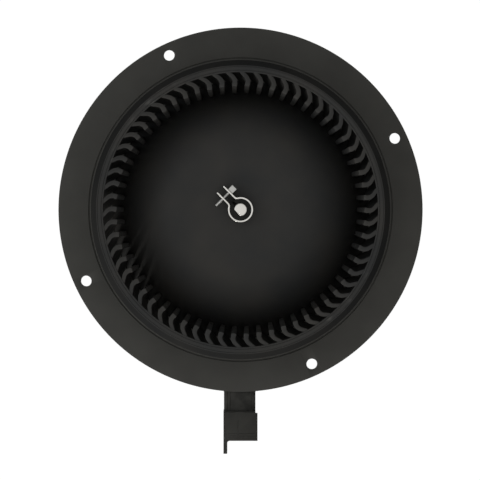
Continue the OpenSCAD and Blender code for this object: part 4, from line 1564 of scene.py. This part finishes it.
@dataclass
class BrushGear:
    """Card that carries the brushes in their boxes, and the parts that quieten the motor."""

    centre: float = -18.0
    box_end: float = 29.0
    spring_start: float = 21.2
    spring_radius: float = 2.3
    spring_wire: float = 0.35
    spring_turns: float = 5.5
    travel: float = 3.0
    shunt_start: float = 21.15
    shunt_out: float = 30.8
    shunt: float = 0.5
    card: float = field(default_factory=lambda: high("brush_card").z)
    choke_at: float = 21.0
    choke_height: float = -20.4
    choke_angle: float = 45.0
    ferrite: float = 2.0
    choke_wire: float = 0.52
    choke_length: float = 10.0
    choke_turns: float = 9.5

    def spring(self, side: BrushSide) -> None:
        """Coil spring wound from behind its brush to the end of the box."""
        length = self.box_end - self.spring_start
        coil = COIL.wind("spring_" + side.letter, self.spring_radius, self.spring_wire,
                         length - 2 * self.spring_wire, self.spring_turns)
        start = self.spring_start + self.spring_wire
        moved(coil, spin(side.value), shift(0, start, self.centre), spin(-90, "X"))
        enlist(coil, "brush_spring_" + side.letter, SPRING_STEEL)
        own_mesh(coil)

    def braid(self, side: BrushSide) -> None:
        """Plaited lead from the brush's back to the card."""
        bend = 1.2
        turn = [(0, self.shunt_out - bend + bend * math.sin(math.radians(angle)),
                 self.centre - bend + bend * math.cos(math.radians(angle))) for angle in (0, 30, 60, 90)]
        route = [(0, self.shunt_start, self.centre), (0, 24, self.centre), (0, 27, self.centre), *turn,
                 (0, self.shunt_out, self.card + 1.5), (0, self.shunt_out, self.card)]
        tube = moved(TUBE.run("braid_" + side.letter, route, self.shunt, 0.4, 10), spin(side.value))
        enlist(tube, "brush_shunt_" + side.letter, BRAID)
        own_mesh(tube)

    def chokes(self) -> None:
        """Two ferrite rods, each wound with thick wire."""
        coil = COIL.wind("choke_coils", self.ferrite + self.choke_wire, self.choke_wire,
                         self.choke_length - 2 * self.choke_wire, self.choke_turns, 10)
        reach = self.choke_length / 2 - self.choke_wire
        moved(coil, shift(self.choke_at, reach, self.choke_height), spin(90, "X"))
        enlist(RING.around(coil, 2, self.choke_angle), "choke_windings", MAGNET_WIRE)
        carry("choke_rods", "choke_cores", 0.3, FERRITE)

    def build(self) -> None:
        """Build and dress the brush gear."""
        carry("card", "brush_card", 0.2, BOARD)
        carry("boxes", "brush_boxes", 0.15, BRASS)
        carry("capacitor", "noise_capacitor", 1.2, RESIN)
        self.chokes()
        for side in BrushSide:
            block_node = "carbon_brush_" + side.letter
            carry("carbon_" + side.letter, block_node, 0.2, CARBON)
            self.spring(side)
            self.braid(side)


# ---------- studio ----------

@dataclass
class Studio:
    """Pale floor, soft light from the lower left, and a camera straight above the inlet."""

    floor_height: float = field(default_factory=lambda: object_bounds()[0][2])
    face_height: float = field(default_factory=lambda: high("wheel_rim").z * MM)
    distance: float = 0.8
    lens: float = 120.0
    shift_x: float = -0.0011
    shift_y: float = -0.0632
    floor_radius: float = 0.9
    floor_grey: Corner = (0.06, 0.06, 0.06)
    glow_reach: Flat = (0.212, 0.235)
    glow_power: Flat = (0.98, 0.12)
    sky_base: float = 0.02
    sky_top: float = 0.93
    sky_swing: float = 0.1
    sky_turn: float = 240.0

    def camera(self) -> None:
        """Camera that looks down the shaft."""
        lens = bpy.data.cameras.new("camera")
        lens.lens = self.lens
        lens.sensor_width = 36
        lens.shift_x = self.shift_x
        lens.shift_y = self.shift_y
        lens.clip_start = 0.01
        eye = bpy.data.objects.new("camera", lens)
        eye.location = (0, 0, self.face_height + self.distance)
        bpy.context.scene.collection.objects.link(eye)
        bpy.context.scene.camera = eye

    def floor(self) -> None:
        """Round pale floor, brightest under the object."""
        shape = bmesh.new()
        bmesh.ops.create_circle(shape, cap_ends=True, segments=96, radius=self.floor_radius)
        floor = new_thing("floor", shape)
        floor.location.z = self.floor_height
        paint = Paint("pale_floor")
        away = paint.add("ShaderNodeVectorMath", {0: paint.place}, operation="LENGTH").outputs["Value"]
        glow = paint.span(away, *self.glow_reach, *self.glow_power)
        paint.tree.links.new(glow, paint.surface.inputs["Emission Strength"])
        paint.surface.inputs["Emission Color"].default_value = (1, 1, 1, 1)
        paint.surface.inputs["Base Color"].default_value = (*self.floor_grey, 1)
        paint.surface.inputs["Roughness"].default_value = 0.9
        floor.data.materials.append(paint.material)
        floor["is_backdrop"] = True

    def sky(self) -> None:
        """Soft surrounding light that is strongest overhead and to the lower left."""
        world = bpy.data.worlds.new("studio")
        bpy.context.scene.world = world
        world.use_nodes = True
        tree = world.node_tree
        back = tree.nodes["Background"]
        where = tree.nodes.new("ShaderNodeTexCoord").outputs["Generated"]
        brightest = (*polar(self.sky_swing, self.sky_turn), self.sky_top)
        facing = add_node(tree, "ShaderNodeVectorMath", {0: where, 1: brightest}, operation="DOT_PRODUCT")
        level = add_node(tree, "ShaderNodeMath", {0: facing.outputs["Value"], 1: self.sky_base},
                         operation="ADD", use_clamp=True)
        tree.links.new(level.outputs[0], back.inputs["Strength"])
        back.inputs["Color"].default_value = (1.0, 0.99, 0.97, 1)

    def lamp(self, name: str, place: Corner, size: float, power: float, colour: Corner) -> None:
        """Square soft light that faces the wheel.

        Args:
            name: name of the light.
            place: position in metres.
            size: side of the light in metres.
            power: power in watts.
            colour: red, green and blue.
        """
        light = bpy.data.lights.new(name, "AREA")
        light.size = size
        light.energy = power
        light.color = colour
        lamp = bpy.data.objects.new(name, light)
        lamp.location = place
        lamp.rotation_euler = (Vector((0, 0, 0.03)) - Vector(place)).to_track_quat("-Z", "Y").to_euler()
        bpy.context.scene.collection.objects.link(lamp)

    def build(self) -> None:
        """Set up the floor, the lights and the camera."""
        self.camera()
        self.floor()
        self.sky()
        self.lamp("low_key", (-0.55, -0.95, 0.17), 0.3, 6, (1, 0.98, 0.95))
        self.lamp("cool_side", (-0.9, 0.15, 0.8), 0.5, 1.2, (0.85, 0.93, 1))
        bpy.context.scene.view_settings.view_transform = "Standard"


def main() -> None:
    """Build the blower in order."""
    logging.basicConfig(level=logging.INFO, format="%(name)s: %(message)s")
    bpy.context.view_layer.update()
    studio = Studio()
    for assembly in (studio, MountingFlange(), Connector(), RearCover(), MotorCase(), BrushGear(),
                     Armature(), Shaft(), Wheel(), HubClamp()):
        log.info("building %s", type(assembly).__name__)
        assembly.build()


if __name__ == "__main__":
    main()
